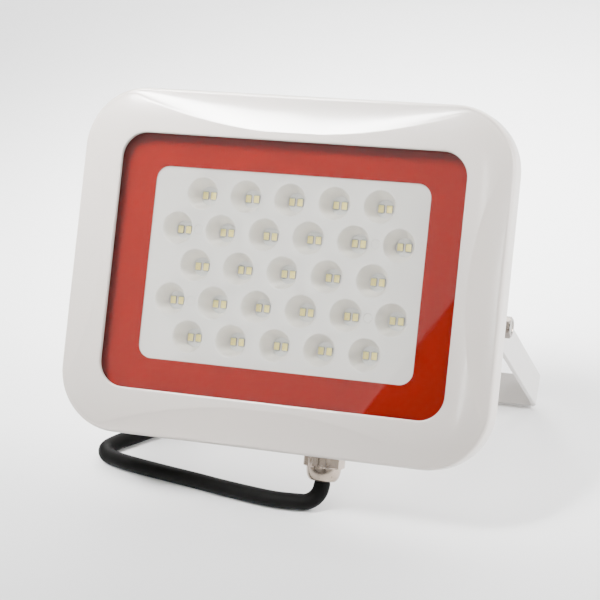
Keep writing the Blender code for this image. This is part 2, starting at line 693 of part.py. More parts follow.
def make_driver(materials, head):
    half_x = DRIVER_BOARD[0] / 2
    half_z = DRIVER_BOARD[2] / 2
    low_z = DRIVER_BOARD_Z - half_z
    low = (-half_x, DRIVER_BACK, low_z)
    high = (half_x, DRIVER_FRONT, DRIVER_BOARD_Z + half_z)
    board = box("driver_board", low, high, materials["circuit"], head)
    front = DRIVER_BACK - OVERRUN
    holes = [stick(x, z, front, DRIVER_FRONT + OVERRUN, COVER_SCREW[0] + FIT, HOLE_SIDES)
             for x, z in driver_screw_places()]
    combine(board, "DIFFERENCE", holes)
    seat = DRIVER_FRONT + FIT

    def block(name, size, x, z, material):
        start = (x - size[0] / 2, seat, z - size[2] / 2)
        end = (x + size[0] / 2, seat + size[1], z + size[2] / 2)
        return box(name, start, end, material, head)

    block_z = low_z + TERMINAL_BLOCK[2] / 4
    block("terminal_block", TERMINAL_BLOCK, GLAND_X, block_z, materials["plastic"])
    block("driver_transformer", TRANSFORMER, -half_x / 3, DRIVER_BOARD_Z, materials["core"])
    profile = [
        (0.8 * CAPACITOR_RADIUS, 0), (CAPACITOR_RADIUS, CAPACITOR_EDGE),
        (CAPACITOR_RADIUS, CAPACITOR_LENGTH - CAPACITOR_EDGE),
        (0.8 * CAPACITOR_RADIUS, CAPACITOR_LENGTH),
    ]
    place = (half_x / 4, seat + CAPACITOR_RADIUS, DRIVER_BOARD_Z)
    turned("driver_capacitor", profile, materials["plastic"], place, "+Z", head, sides=16)
    inner = 0.4 * CHOKE_RADIUS
    edge = 0.2 * CHOKE_RADIUS
    profile = [
        (inner, edge), (inner + edge, 0), (CHOKE_RADIUS - edge, 0), (CHOKE_RADIUS, edge),
        (CHOKE_RADIUS, CHOKE_HEIGHT - edge), (CHOKE_RADIUS - edge, CHOKE_HEIGHT),
        (inner + edge, CHOKE_HEIGHT), (inner, CHOKE_HEIGHT - edge),
    ]
    place = (0.68 * half_x, seat, DRIVER_BOARD_Z + half_z / 3)
    turned("driver_choke", profile, materials["copper"], place, "+Y", head, sides=12, bore=True)
    wire_end = DRIVER_BOARD_Z + half_z - WIRE_INLET
    for i, side in enumerate((-1, 1), 1):
        x = side * 0.5 * WIRE_HOLE
        path = [
            (x, -PAD_FRONT, WIRE_Z), (x, PLATE_BACK, WIRE_Z),
            (x, PLATE_BACK + 3.5 * MM, WIRE_Z - 1.5 * MM), (x, seat + 1.6 * MM, WIRE_Z - 6 * MM),
            (x, seat + 2.4 * MM, (WIRE_Z + wire_end) / 2 - 4 * MM),
            (x, seat + 1.6 * MM, wire_end), (x, seat + 0.5 * MM, wire_end - MM),
        ]
        tube(f"led_wire_{i}", path, WIRE_RADIUS, materials["wire"], head, 2)


def tube(name, path, radius, material, parent=None, detail=3):
    """A round tube along a list of points, as a curve with a bevel and filled caps."""
    curve = bpy.data.curves.new(name, "CURVE")
    curve.dimensions = "3D"
    curve.bevel_depth = radius
    curve.bevel_resolution = detail
    curve.use_fill_caps = True
    spline = curve.splines.new("POLY")
    spline.points.add(len(path) - 1)
    for point, place in zip(spline.points, path):
        point.co = (*place, 1.0)
    curve.materials.append(material)
    item = bpy.data.objects.new(name, curve)
    bpy.context.scene.collection.objects.link(item)
    item.parent = parent
    return item


def make_gland(materials, head):
    """Gland body screwed into the boss, its seal and the domed nut that squeezes the seal."""
    nickel = materials["nickel"]
    centre = (GLAND_X, GLAND_Y, 0)
    ring = GLAND_THREAD + FIT
    top = -(GLAND_FACE - FIT)
    washer = [(ring, top), (GLAND_FLATS / 2, top), (GLAND_FLATS / 2, top + GLAND_WASHER),
              (ring, top + GLAND_WASHER)]
    turned("gland_washer", washer, materials["rubber"], centre, "-Z", head, bore=True)
    start = BAY_HEIGHT / 2 - 1.5 * MM
    shoulder = -GLAND_BODY_TOP
    neck = GLAND_THREAD + NECK_STEP
    neck_end = -NUT_TOP + 0.85 * NUT_HEX
    body = [
        (BORE, start), (GLAND_THREAD, start), (GLAND_THREAD, shoulder),
        (GLAND_FLATS / 2, shoulder, True), (GLAND_FLATS / 2, shoulder + GLAND_FLANGE, True),
        (neck, shoulder + GLAND_FLANGE), (neck, neck_end), (BORE, neck_end),
    ]
    turned("gland_body", body, nickel, centre, "-Z", head, HEX_SIDES, bore=True)
    nut_top = -NUT_TOP
    hex_end = nut_top + NUT_HEX
    nut_end = -NUT_BOTTOM
    wide = NUT_FLATS / 2 - NUT_STEP
    nut = [(neck + FIT, nut_top), (NUT_FLATS / 2, nut_top, True), (NUT_FLATS / 2, hex_end, True),
           (wide, hex_end)]
    for k in range(1, DOME_STEPS + 1):
        turn = pi / 2 * k / DOME_STEPS
        nut.append((NUT_END + (wide - NUT_END) * cos(turn), hex_end + NUT_DOME * sin(turn)))
    nut += [(BORE, nut_end), (neck + FIT, neck_end + FIT)]
    turned("gland_nut", nut, nickel, centre, "-Z", head, HEX_SIDES, bore=True)
    seal_start = neck_end + FIT
    seal_end = nut_end - 0.35 * NUT_DOME
    share = (seal_end - seal_start) / (nut_end - seal_start)
    inner = LEAD_RADIUS + 0.5 * FIT
    narrow = neck - (neck + FIT - BORE) * share
    seal = [(inner, seal_start), (neck, seal_start), (narrow, seal_end), (inner, seal_end)]
    turned("gland_seal", seal, materials["rubber"], centre, "-Z", head, bore=True)
    block_end = -(DRIVER_BOARD_Z - DRIVER_BOARD[2] / 2 - TERMINAL_BLOCK[2] / 4)
    lead = [(LEAD_RADIUS, block_end + FIT), (LEAD_RADIUS, nut_end)]
    turned("inner_lead", lead, materials["rubber"], centre, "-Z", head, sides=16)


def make_bracket(materials, pivot):
    """A U of flat strip: two arms with round ends, and a crossbar with its fixing holes."""
    half = STRIP_WIDTH / 2
    outer = FOLD_RADIUS + STRIP_THICK
    bend = ARM_REACH - outer
    sections = []
    for k in range(END_STEPS):
        turn = radians(78) * (1 - k / END_STEPS)
        sections.append((ARM_OUTSIDE, ARM_INSIDE, -half * sin(turn), 0, half * cos(turn)))
    sections.append((ARM_OUTSIDE, ARM_INSIDE, 0, 0, half))
    centre = ARM_INSIDE - FOLD_RADIUS
    for k in range(FOLD_STEPS + 1):
        turn = pi / 2 * k / FOLD_STEPS
        sections.append((centre + outer * cos(turn), centre + FOLD_RADIUS * cos(turn),
                         bend + outer * sin(turn), -STRIP_THICK * sin(turn), half))

    def loop(section, side):
        out_x, in_x, y, step, wide = section
        return [(side * out_x, y, -wide), (side * out_x, y, wide),
                (side * in_x, y + step, wide), (side * in_x, y + step, -wide)]

    loops = [loop(section, 1) for section in sections]
    loops += [loop(section, -1) for section in reversed(sections)]
    bracket = solid("bracket", loops, materials["bracket"], pivot)
    wide = ARM_OUTSIDE + OVERRUN
    across_both = [(BOLT_RADIUS + FIT, 0), (BOLT_RADIUS + FIT, 2 * wide)]
    hole = turned("hole", across_both, None, (-wide, 0, 0), "+X")
    centre_hole = stick(0, 0, bend, ARM_REACH + OVERRUN, FIXING_HOLE, ROUND_SIDES)
    combine(bracket, "DIFFERENCE", [hole, centre_hole] + fixing_slots(bend))
    return smooth(bracket, 30)


def fixing_slots(bend):
    length, width = FIXING_SLOT
    straight = (length - width) / 2
    turns = [pi * k / 6 for k in range(7)]
    right = [(straight + width / 2 * sin(turn), width / 2 * cos(turn)) for turn in turns]
    shape = right + [(-x, -z) for x, z in right]
    tools = []
    for side in (-1, 1):
        x0 = side * FIXING_SPACING / 2
        ends = (bend, ARM_REACH + OVERRUN)
        loops = [[(x0 + x, y, z) for x, z in shape] for y in ends]
        tools.append(solid("slot", loops, None))
    return tools


def make_pivots(materials, head):
    steel = materials["steel"]
    for side, word, axis in ((-1, "left", "-X"), (1, "right", "+X")):
        centre = (0, PIVOT_Y, PIVOT_Z)
        hole = BOLT_RADIUS + FIT
        start = BOSS_FACE + FIT
        washer = [(hole, start), (PIVOT_BOSS, start), (PIVOT_BOSS, start + FRICTION_WASHER),
                  (hole, start + FRICTION_WASHER)]
        turned(f"friction_washer_{word}", washer, materials["plastic"], centre, axis, head,
               sides=16, bore=True)
        start = ARM_OUTSIDE + FIT
        washer = [(hole, start), (WASHER_RADIUS, start), (WASHER_RADIUS, start + BOLT_WASHER),
                  (hole, start + BOLT_WASHER)]
        turned(f"bolt_washer_{word}", washer, steel, centre, axis, head, sides=16, bore=True)
        flat = BOLT_FLATS / 2
        bolt = [
            (BOLT_RADIUS, HEAD_FACE - BOLT_LENGTH - STRIP_THICK), (BOLT_RADIUS, HEAD_FACE),
            (flat, HEAD_FACE, True), (flat, HEAD_FACE + 0.8 * BOLT_HEAD, True),
            (0.9 * flat, HEAD_FACE + BOLT_HEAD),
        ]
        turned(f"pivot_bolt_{word}", bolt, steel, centre, axis, head, BOLT_SIDES)


def smooth_route(points, step):
    """Points a step apart on a smooth curve through the route's own points."""
    ends = [points[0] * 2 - points[1]] + points + [points[-1] * 2 - points[-2]]
    fine = []
    for a, b, c, d in zip(ends, ends[1:], ends[2:], ends[3:]):
        for k in range(40):
            t = k / 40
            fine.append(0.5 * (2 * b + (c - a) * t + (2 * a - 5 * b + 4 * c - d) * t ** 2
                               + (3 * b - a - 3 * c + d) * t ** 3))
    fine.append(points[-1])
    total = sum((b - a).length for a, b in zip(fine, fine[1:]))
    count = round(total / step)
    spots = [fine[0]]
    walked = 0.0
    for a, b in zip(fine, fine[1:]):
        stretch = (b - a).length
        while walked + stretch >= total / count * len(spots) and len(spots) < count:
            share = (total / count * len(spots) - walked) / stretch
            spots.append(a.lerp(b, share))
        walked += stretch
    return spots + [fine[-1]]


# The lead's route on the floor, in millimetres to the right and to the back of the point below
# the gland's end. From its bend it runs to the left, turns, and comes back under the lamp.
ROUTE = (
    (-22, -5.0), (-43, -2.2), (-60, 0.9), (-76, 3.6), (-92, 6.6), (-102, 9.0), (-108.6, 12.0),
    (-111.2, 17.0), (-108.8, 22.4), (-104, 28.0), (-95, 38), (-82, 48), (-64, 58), (-42, 65),
    (-18, 69), (6, 70),
)


def make_lead(materials, head):
    """The free lead, from the gland's end to the three bare cores at its own end."""
    mouth = head.matrix_world @ Vector((GLAND_X, GLAND_Y, NUT_BOTTOM - FIT))
    away = head.matrix_world.to_3x3() @ Vector((0, 0, -1))
    start = mouth + away * MM
    floor = LEAD_RADIUS + 0.05 * MM
    bend = (start.z - floor) / -away.z
    route = [start]
    for degrees in (22, 45, 68, 90):
        turn = radians(degrees)
        route.append(start + away * bend * sin(turn) - Vector((bend * (1 - cos(turn)), 0, 0)))
    route += [Vector((start.x + x * MM, start.y + y * MM, floor)) for x, y in ROUTE]
    path = [mouth] + smooth_route(route, LEAD_STEP)
    for point in path:
        point.z = max(point.z, floor)
    tube("lead", path, LEAD_RADIUS, materials["rubber"])
    end = path[-1]
    along = (path[-1] - path[-2]).normalized()
    side = along.cross(Vector((0, 0, 1)))
    rise = CORE_RADIUS - LEAD_RADIUS
    for i, (spread, lift) in enumerate(((-1, -0.5), (0, 1), (1, -0.5)), 1):
        offset = side * spread * 1.45 * MM + Vector((0, 0, 1)) * lift * 1.6 * MM
        fan = side * spread * 4 * MM
        core = [
            end + along * FIT + offset,
            end + along * 0.12 * CORE_LENGTH + offset,
            end + along * 0.45 * CORE_LENGTH + offset * 1.4 + fan * 0.3 + Vector((0, 0, rise * 0.6)),
            end + along * 0.75 * CORE_LENGTH + fan + side * spread * MM,
            end + along * CORE_LENGTH + fan * 1.5 + side * spread * MM,
        ]
        for point in core[3:]:
            point.z = CORE_RADIUS
        core[2].z = max(core[2].z, CORE_RADIUS)
        tube(f"lead_core_{i}", core, CORE_RADIUS, materials["wire"], None, 2)


def stand(head):
    """Leans the head back until the crossbar and the lead's bend both touch the floor."""
    corner = Vector((0, ARM_REACH, -STRIP_WIDTH / 2))
    corner.rotate(Matrix.Rotation(BRACKET_ANGLE, 3, "X"))
    rise = corner.z + PIVOT_Z - NUT_BOTTOM + FIT
    run = corner.y + PIVOT_Y - GLAND_Y
    lean = atan2(rise, run) + asin(LEAD_HEIGHT / hypot(rise, run))
    head.rotation_euler.x = -lean
    bpy.context.view_layer.update()
    graph = bpy.context.evaluated_depsgraph_get()
    corners = []
    for item in bpy.data.objects:
        if item.type != "EMPTY":
            mesh = item.evaluated_get(graph).to_mesh()
            corners += [item.matrix_world @ vertex.co for vertex in mesh.vertices]
    low_y = min(point.y for point in corners)
    high_y = max(point.y for point in corners)
    head.location = (0, -(low_y + high_y) / 2, -min(point.z for point in corners))
    bpy.context.view_layer.update()


def main():
    clear_scene()
    materials = {
        "paint": principled("white_paint", (0.72, 0.70, 0.67), 0.38),
        "bracket": principled("bracket_paint", (0.74, 0.73, 0.71), 0.4),
        "glass": principled("clear_glass", (0.85, 0.9, 0.9), 0.05),
        "print": principled("red_print", (0.5, 0.06, 0.03), 0.3),
        "silicone": principled("grey_silicone", (0.55, 0.55, 0.54), 0.6),
        "reflector": principled("white_reflector", (0.8, 0.79, 0.77), 0.45),
        "board": principled("white_board", (0.78, 0.78, 0.76), 0.5),
        "pad": principled("thermal_pad", (0.35, 0.42, 0.5), 0.7),
        "circuit": principled("circuit_board", (0.05, 0.2, 0.08), 0.5),
        "core": principled("transformer_tape", (0.75, 0.62, 0.1), 0.5),
        "copper": principled("copper_wire", (0.7, 0.3, 0.15), 0.3, 1.0),
        "plastic": principled("black_plastic", (0.05, 0.05, 0.05), 0.5),
        "steel": principled("plated_steel", (0.6, 0.6, 0.6), 0.3, 1.0),
        "nickel": principled("nickel_plate", (0.72, 0.66, 0.6), 0.2, 1.0),
        "rubber": principled("black_rubber", (0.02, 0.02, 0.02), 0.6),
        "wire": principled("wire_sleeve", (0.3, 0.15, 0.08), 0.5),
    }
    head = bpy.data.objects.new("head_frame", None)
    pivot = bpy.data.objects.new("bracket_pivot", None)
    for empty in (head, pivot):
        bpy.context.scene.collection.objects.link(empty)
    pivot.parent = head
    pivot.location = (0, PIVOT_Y, PIVOT_Z)
    make_bezel(materials["paint"], head)
    make_glass(materials, head)
    make_reflector(materials, head)
    make_led_board(materials, head)
    make_housing(materials, head)
    make_cover(materials, head)
    make_driver(materials, head)
    make_screws(materials, head)
    make_gland(materials, head)
    make_pivots(materials, head)
    make_bracket(materials, pivot)
    pivot.rotation_euler.x = BRACKET_ANGLE
    stand(head)
    make_lead(materials, head)


main()
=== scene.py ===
import bpy
import bmesh
import json
from math import atan2, cos, pi, radians, sin
from mathutils import Matrix, Quaternion, Vector


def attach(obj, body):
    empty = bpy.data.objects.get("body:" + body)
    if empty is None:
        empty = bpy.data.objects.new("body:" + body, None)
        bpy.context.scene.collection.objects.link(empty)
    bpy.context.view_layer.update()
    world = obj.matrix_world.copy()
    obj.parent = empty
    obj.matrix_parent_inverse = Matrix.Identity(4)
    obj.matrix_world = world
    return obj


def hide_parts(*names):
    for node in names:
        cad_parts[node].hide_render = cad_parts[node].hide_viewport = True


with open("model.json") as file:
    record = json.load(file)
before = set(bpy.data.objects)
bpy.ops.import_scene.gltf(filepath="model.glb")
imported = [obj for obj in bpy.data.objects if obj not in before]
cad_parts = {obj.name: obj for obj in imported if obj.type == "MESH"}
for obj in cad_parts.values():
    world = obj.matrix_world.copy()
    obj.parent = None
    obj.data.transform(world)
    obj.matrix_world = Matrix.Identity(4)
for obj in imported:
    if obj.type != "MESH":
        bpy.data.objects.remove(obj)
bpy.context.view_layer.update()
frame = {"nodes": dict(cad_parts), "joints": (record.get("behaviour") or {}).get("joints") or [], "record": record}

MM = 0.001
nodes = frame["nodes"]
scene = bpy.context.scene

# The camera stands in front of the lamp, a little to its right and above it, as for a catalogue
# picture: a long lens at 0.8 m, rolled so that the lamp seems to lean to its left.
TARGET = Vector((-0.0015, 0.0, 0.0738))
DISTANCE = 0.804
AZIMUTH = radians(-22.0)
ELEVATION = radians(27.36)
ROLL = radians(-5.10)
FOCAL_LENGTH = 109.96
SENSOR_WIDTH = 36.0


def linked(name, data):
    """A new object in the scene."""
    made = bpy.data.objects.new(name, data)
    scene.collection.objects.link(made)
    return made


level = cos(ELEVATION)
look = Vector((sin(AZIMUTH) * level, cos(AZIMUTH) * level, -sin(ELEVATION)))
lens = bpy.data.cameras.new("camera")
lens.lens = FOCAL_LENGTH
lens.sensor_width = SENSOR_WIDTH
camera = linked("camera", lens)
camera.rotation_mode = "QUATERNION"
camera.location = TARGET - look * DISTANCE
camera.rotation_quaternion = look.to_track_quat("-Z", "Y") @ Quaternion((0, 0, 1), ROLL)
scene.camera = camera

# The lead: black rubber round three sleeved cores. It comes out of the gland, bends to the left
# on the floor, turns and comes back under the lamp, where its stripped cores lie open.
PIVOT_Y = 15.8 * MM
PIVOT_Z = -13.1 * MM
BRACKET_ANGLE = radians(-15.9)
GLAND_X = 20.2 * MM
GLAND_Y = 14.6 * MM
NUT_END_Z = -86.4 * MM
FIT = 0.3 * MM
LEAD_RADIUS = 3.55 * MM
LEAD_STEP = 1.4 * MM
LEAD_SIDES = 32
LEAD_LIFT = 0.05 * MM
LEAD_BEND = (22, 45, 68, 90)
CORE_RADIUS = 1.25 * MM
CORE_LENGTH = 30.0 * MM
CORE_SIDES = 16
CORE_SPREAD = 1.45 * MM
CORE_LIFT = 1.6 * MM
CORE_FAN = 4.0 * MM
STRIPPED = 7.0 * MM
STRANDS = 7
STRAND_RADIUS = 0.24 * MM
STRAND_TWIST = 0.22
STRAND_SIDES = 8
ROUTE_DETAIL = 40
LEAD_ROUTE = (
    (-22, -5.0), (-43, -2.2), (-60, 0.9), (-76, 3.6), (-92, 6.6), (-102, 9.0), (-108.6, 12.0),
    (-111.2, 17.0), (-108.8, 22.4), (-104, 28.0), (-95, 38), (-82, 48), (-64, 58), (-42, 65),
    (-18, 69), (6, 70),
)
pivot = Vector(frame["joints"][0]["pos_m"])
arm = Vector(frame["record"]["mounts"][0]["axis"])
lean = atan2(arm.z, arm.y) - BRACKET_ANGLE
bracket_frame = Matrix.Translation(pivot) @ Matrix.Rotation(lean + BRACKET_ANGLE, 4, "X")
head_frame = Matrix.Translation(pivot) @ Matrix.Rotation(lean, 4, "X")
head_frame = head_frame @ Matrix.Translation((0, -PIVOT_Y, -PIVOT_Z))


def feed(tree, socket, value):
    """Links another node's result to a socket, or sets the socket's own value."""
    if isinstance(value, bpy.types.NodeSocket):
        tree.links.new(value, socket)
    else:
        socket.default_value = value


def node(tree, kind, inputs=None, **settings):
    """Adds a node, sets its properties, and sets or links its inputs by name or number."""
    made = tree.nodes.new(kind)
    for key, value in settings.items():
        setattr(made, key, value)
    for key, value in (inputs or {}).items():
        feed(tree, made.inputs[key], value)
    return made


def place_on(tree):
    """Where a point lies on its piece, in the piece's own coordinates."""
    return tree.nodes.new("ShaderNodeTexCoord").outputs["Object"]


def reckoned(tree, operation, first, second=0.0):
    return node(tree, "ShaderNodeMath", {0: first, 1: second}, operation=operation).outputs[0]


def effect(name, inputs, outputs):
    """A new node group for materials, its input sockets, and the place on the piece."""
    group = bpy.data.node_groups.new(name, "ShaderNodeTree")
    for label, value in inputs.items():
        socket = group.interface.new_socket(label, in_out="INPUT", socket_type="NodeSocketFloat")
        socket.default_value = value
    for label in outputs:
        group.interface.new_socket(label, in_out="OUTPUT", socket_type="NodeSocketFloat")
    return group, group.nodes.new("NodeGroupInput").outputs, place_on(group)


def settle(group, values):
    """Links the group's results to its outputs."""
    end = group.nodes.new("NodeGroupOutput")
    for label, socket in values.items():
        group.links.new(socket, end.inputs[label])


def noise(tree, place, scale, detail=2.0, rough=0.5):
    return node(tree, "ShaderNodeTexNoise", {"Vector": place, "Scale": scale, "Detail": detail,
                                             "Roughness": rough}).outputs["Fac"]


def ranged(tree, value, low, high, new_low=0.0, new_high=1.0):
    return node(tree, "ShaderNodeMapRange", {
        "Value": value, "From Min": low, "From Max": high, "To Min": new_low, "To Max": new_high,
    }).outputs["Result"]


def blend_colour(tree, share, *colours):
    """The first colour turning into the second; each is a node's result or red, green, blue."""
    made = node(tree, "ShaderNodeMix", {0: share}, data_type="RGBA")
    for socket, colour in zip(made.inputs[6:8], colours):
        feed(tree, socket, (*colour, 1.0) if isinstance(colour, tuple) else colour)
    return made.outputs[2]


def moulded_grain():
    """Fine grain of moulded rubber and plastic: a height, and slow patches of tone."""
    group, given, place = effect("moulded_grain", {"Scale": 2500.0}, ("Height", "Tone"))
    fine = noise(group, place, given["Scale"], 3.0, 0.6)
    cells = node(group, "ShaderNodeTexVoronoi", {"Vector": place, "Scale": given["Scale"]})
    height = reckoned(group, "ADD", fine, cells.outputs["Distance"])
    tone = ranged(group, noise(group, place, 60.0, 3.0, 0.6), 0.35, 0.65)
    settle(group, {"Height": height, "Tone": tone})
    return group


def settled_dust():
    """Dust that lies on what faces upwards, in thin uneven patches."""
    group, given, place = effect("settled_dust", {"Amount": 0.1}, ("Mask",))
    normal = group.nodes.new("ShaderNodeNewGeometry").outputs["Normal"]
    up = node(group, "ShaderNodeSeparateXYZ", {0: normal}).outputs["Z"]
    facing = ranged(group, up, 0.2, 1.0)
    patches = ranged(group, noise(group, place, 140.0, 6.0, 0.7), 0.4, 0.7)
    lying = reckoned(group, "MULTIPLY", facing, patches)
    settle(group, {"Mask": reckoned(group, "MULTIPLY", lying, given["Amount"])})
    return group


GRAIN = moulded_grain()
DUST = settled_dust()
DUST_COLOUR = (0.62, 0.60, 0.56)


def surface(name, roughness, metallic=0.0, **fixed):
    """A new material: its tree and its shader, with the values that are the same all over."""
    material = bpy.data.materials.new(name)
    material.use_nodes = True
    tree = material.node_tree
    shader = tree.nodes["Principled BSDF"]
    shader.inputs["Roughness"].default_value = roughness
    shader.inputs["Metallic"].default_value = metallic
    for label, value in fixed.items():
        shader.inputs[label.replace("_", " ")].default_value = value
    return material, tree, shader


def link(tree, shader, **sockets):
    for label, socket in sockets.items():
        tree.links.new(socket, shader.inputs[label.replace("_", " ")])


def bump(tree, height, strength, distance):
    return node(tree, "ShaderNodeBump", {"Height": height, "Strength": strength,
                                         "Distance": distance}).outputs["Normal"]


def grouped(tree, group, **values):
    made = tree.nodes.new("ShaderNodeGroup")
    made.node_tree = group
    for label, value in values.items():
        made.inputs[label].default_value = value
    return made.outputs


def moulded(name, colour, shade, roughness, scale=2500.0, depth=0.02, dust=0.0, **fixed):
    """Moulded rubber or plastic: grain, patches of tone, and dust where it faces up."""
    material, tree, shader = surface(name, roughness, **fixed)
    grain = grouped(tree, GRAIN, Scale=scale)
    base = blend_colour(tree, grain["Tone"], colour, shade)
    if dust:
        base = blend_colour(tree, grouped(tree, DUST, Amount=dust)["Mask"], base, DUST_COLOUR)
    gloss = ranged(tree, grain["Tone"], 0.0, 1.0, roughness - 0.05, roughness + 0.07)
    link(tree, shader, Base_Color=base, Roughness=gloss,
         Normal=bump(tree, grain["Height"], 0.5, depth * MM))
    return material


def smooth_route(points, step):
    """Points a step apart on a smooth curve through the route's own points."""
    ends = [points[0] * 2 - points[1]] + points + [points[-1] * 2 - points[-2]]
    fine = []
    for a, b, c, d in zip(ends, ends[1:], ends[2:], ends[3:]):
        for k in range(ROUTE_DETAIL):
            t = k / ROUTE_DETAIL
            fine.append(0.5 * (2 * b + (c - a) * t + (2 * a - 5 * b + 4 * c - d) * t ** 2
                               + (3 * b - a - 3 * c + d) * t ** 3))
    fine.append(points[-1])
    total = sum((b - a).length for a, b in zip(fine, fine[1:]))
    count = round(total / step)
    spots = [fine[0]]
    walked = 0.0
    for a, b in zip(fine, fine[1:]):
        stretch = (b - a).length
        while walked + stretch >= total / count * len(spots) and len(spots) < count:
            share = (total / count * len(spots) - walked) / stretch
            spots.append(a.lerp(b, share))
        walked += stretch
    return spots + [fine[-1]]


def swept(bm, path, radius, sides, material_index=0, round_end=0.0):
    """A tube along a path with closed ends, with a map of its turn and its length."""
    layer = bm.loops.layers.uv.get("along") or bm.loops.layers.uv.new("along")
    steps = list(zip([path[0]] + path[:-1], path, path[1:] + [path[-1]]))
    first = (steps[0][2] - path[0]).normalized()
    side = first.orthogonal().normalized()
    rings, walked = [], [0.0]
    for before, here, after in steps:
        along = (after - before).normalized()
        side = (side - along * side.dot(along)).normalized()
        up = along.cross(side)
        wide = radius - (round_end if here in (path[0], path[-1]) else 0.0)
        rings.append([bm.verts.new(here + (side * cos(2 * pi * k / sides)
                                           + up * sin(2 * pi * k / sides)) * wide)
                      for k in range(sides)])
        walked.append(walked[-1] + (here - before).length)
    for i, (near, far) in enumerate(zip(rings, rings[1:])):
        for k in range(sides):
            n = (k + 1) % sides
            face = bm.faces.new((near[k], near[n], far[n], far[k]))
            face.material_index = material_index
            turns = (k, k + 1, k + 1, k)
            for corner, turn, row in zip(face.loops, turns, (i, i, i + 1, i + 1)):
                corner[layer].uv = (turn / sides, walked[row + 1])
    for ring in (list(reversed(rings[0])), rings[-1]):
        bm.faces.new(ring).material_index = material_index


def closed(bm):
    """The mesh of closed shapes drawn in bm, with all their faces turned outwards."""
    bmesh.ops.recalc_face_normals(bm, faces=bm.faces)
    mesh = bpy.data.meshes.new("closed")
    bm.to_mesh(mesh)
    bm.free()
    return mesh


def put(name, mesh, materials, *stands_for, place=head_frame, body="lamp", sharp=30.0):
    """A finished piece, its place in its mesh, that rides on a body and stands for CAD nodes."""
    mesh.name = name
    mesh.transform(place)
    mesh.materials.clear()
    for material in materials:
        mesh.materials.append(material)
    mesh.shade_smooth()
    mesh.set_sharp_from_angle(angle=radians(sharp))
    piece = linked(name, mesh)
    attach(piece, body)
    if stands_for:
        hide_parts(*stands_for)
    return piece


def coat(material, *names):
    """Gives CAD nodes that stay as they are a material of their own."""
    for name in names:
        nodes[name].material_slots[0].material = material


rubber = moulded("black_rubber", (0.0028, 0.0027, 0.0026), (0.0044, 0.0043, 0.0042), 0.55,
                 2200.0, 0.03, 0.004, Specular_IOR_Level=0.08)
mouth = head_frame @ Vector((GLAND_X, GLAND_Y, NUT_END_Z - FIT))
away = head_frame.to_3x3() @ Vector((0, 0, -1))
start = mouth + away * MM
floor_z = LEAD_RADIUS + LEAD_LIFT
bend = (start.z - floor_z) / -away.z
route = [start]
for degrees in LEAD_BEND:
    turn = radians(degrees)
    route.append(start + away * bend * sin(turn) - Vector((bend * (1 - cos(turn)), 0, 0)))
route += [Vector((start.x + x * MM, start.y + y * MM, floor_z)) for x, y in LEAD_ROUTE]
lead_path = [mouth] + smooth_route(route, LEAD_STEP)
for point in lead_path:
    point.z = max(point.z, floor_z)
bm = bmesh.new()
swept(bm, lead_path, LEAD_RADIUS, LEAD_SIDES, round_end=0.15 * MM)
lead = put("rubber_lead", closed(bm), [rubber], "lead", place=Matrix())


def core_sleeve(name, colour, stripe=None):
    """Sleeving of a core in its own colour, or with two stripes along it."""
    material, tree, shader = surface(name, 0.38, Specular_IOR_Level=0.5)
    grain = grouped(tree, GRAIN, Scale=3000.0)
    darker = tuple(0.8 * part for part in colour)
    base = blend_colour(tree, grain["Tone"], colour, darker)
    if stripe:
        uv = node(tree, "ShaderNodeUVMap", uv_map="along").outputs["UV"]
        turn = node(tree, "ShaderNodeSeparateXYZ", {0: uv}).outputs["X"]
        part = reckoned(tree, "FRACT", reckoned(tree, "MULTIPLY", turn, 2.0))
        base = blend_colour(tree, reckoned(tree, "GREATER_THAN", part, 0.45), base, stripe)
    link(tree, shader, Base_Color=base, Normal=bump(tree, grain["Height"], 0.4, 0.01 * MM))
    return material


def worn_metal():
    """Fine scratches and clouds of dulled shine on plated and bare metal."""
    group, given, place = effect("worn_metal", {"Scale": 900.0}, ("Scratches", "Clouds"))
    stretched = node(group, "ShaderNodeMapping", {"Vector": place, "Scale": (1.0, 0.08, 0.3)})
    lines = noise(group, stretched.outputs["Vector"], given["Scale"], 5.0, 0.7)
    scratches = ranged(group, lines, 0.56, 0.66)
    clouds = ranged(group, noise(group, place, 160.0, 4.0, 0.65), 0.35, 0.68)
    settle(group, {"Scratches": scratches, "Clouds": clouds})
    return group


WORN = worn_metal()


def metal(name, colour, shade, roughness, scale=900.0, depth=0.01):
    material, tree, shader = surface(name, roughness, 1.0)
    wear = grouped(tree, WORN, Scale=scale)
    base = blend_colour(tree, wear["Clouds"], colour, shade)
    dull = ranged(tree, wear["Clouds"], 0.0, 1.0, roughness, roughness + 0.1)
    link(tree, shader, Base_Color=base, Roughness=dull,
         Normal=bump(tree, wear["Scratches"], 0.3, depth * MM))
    return material


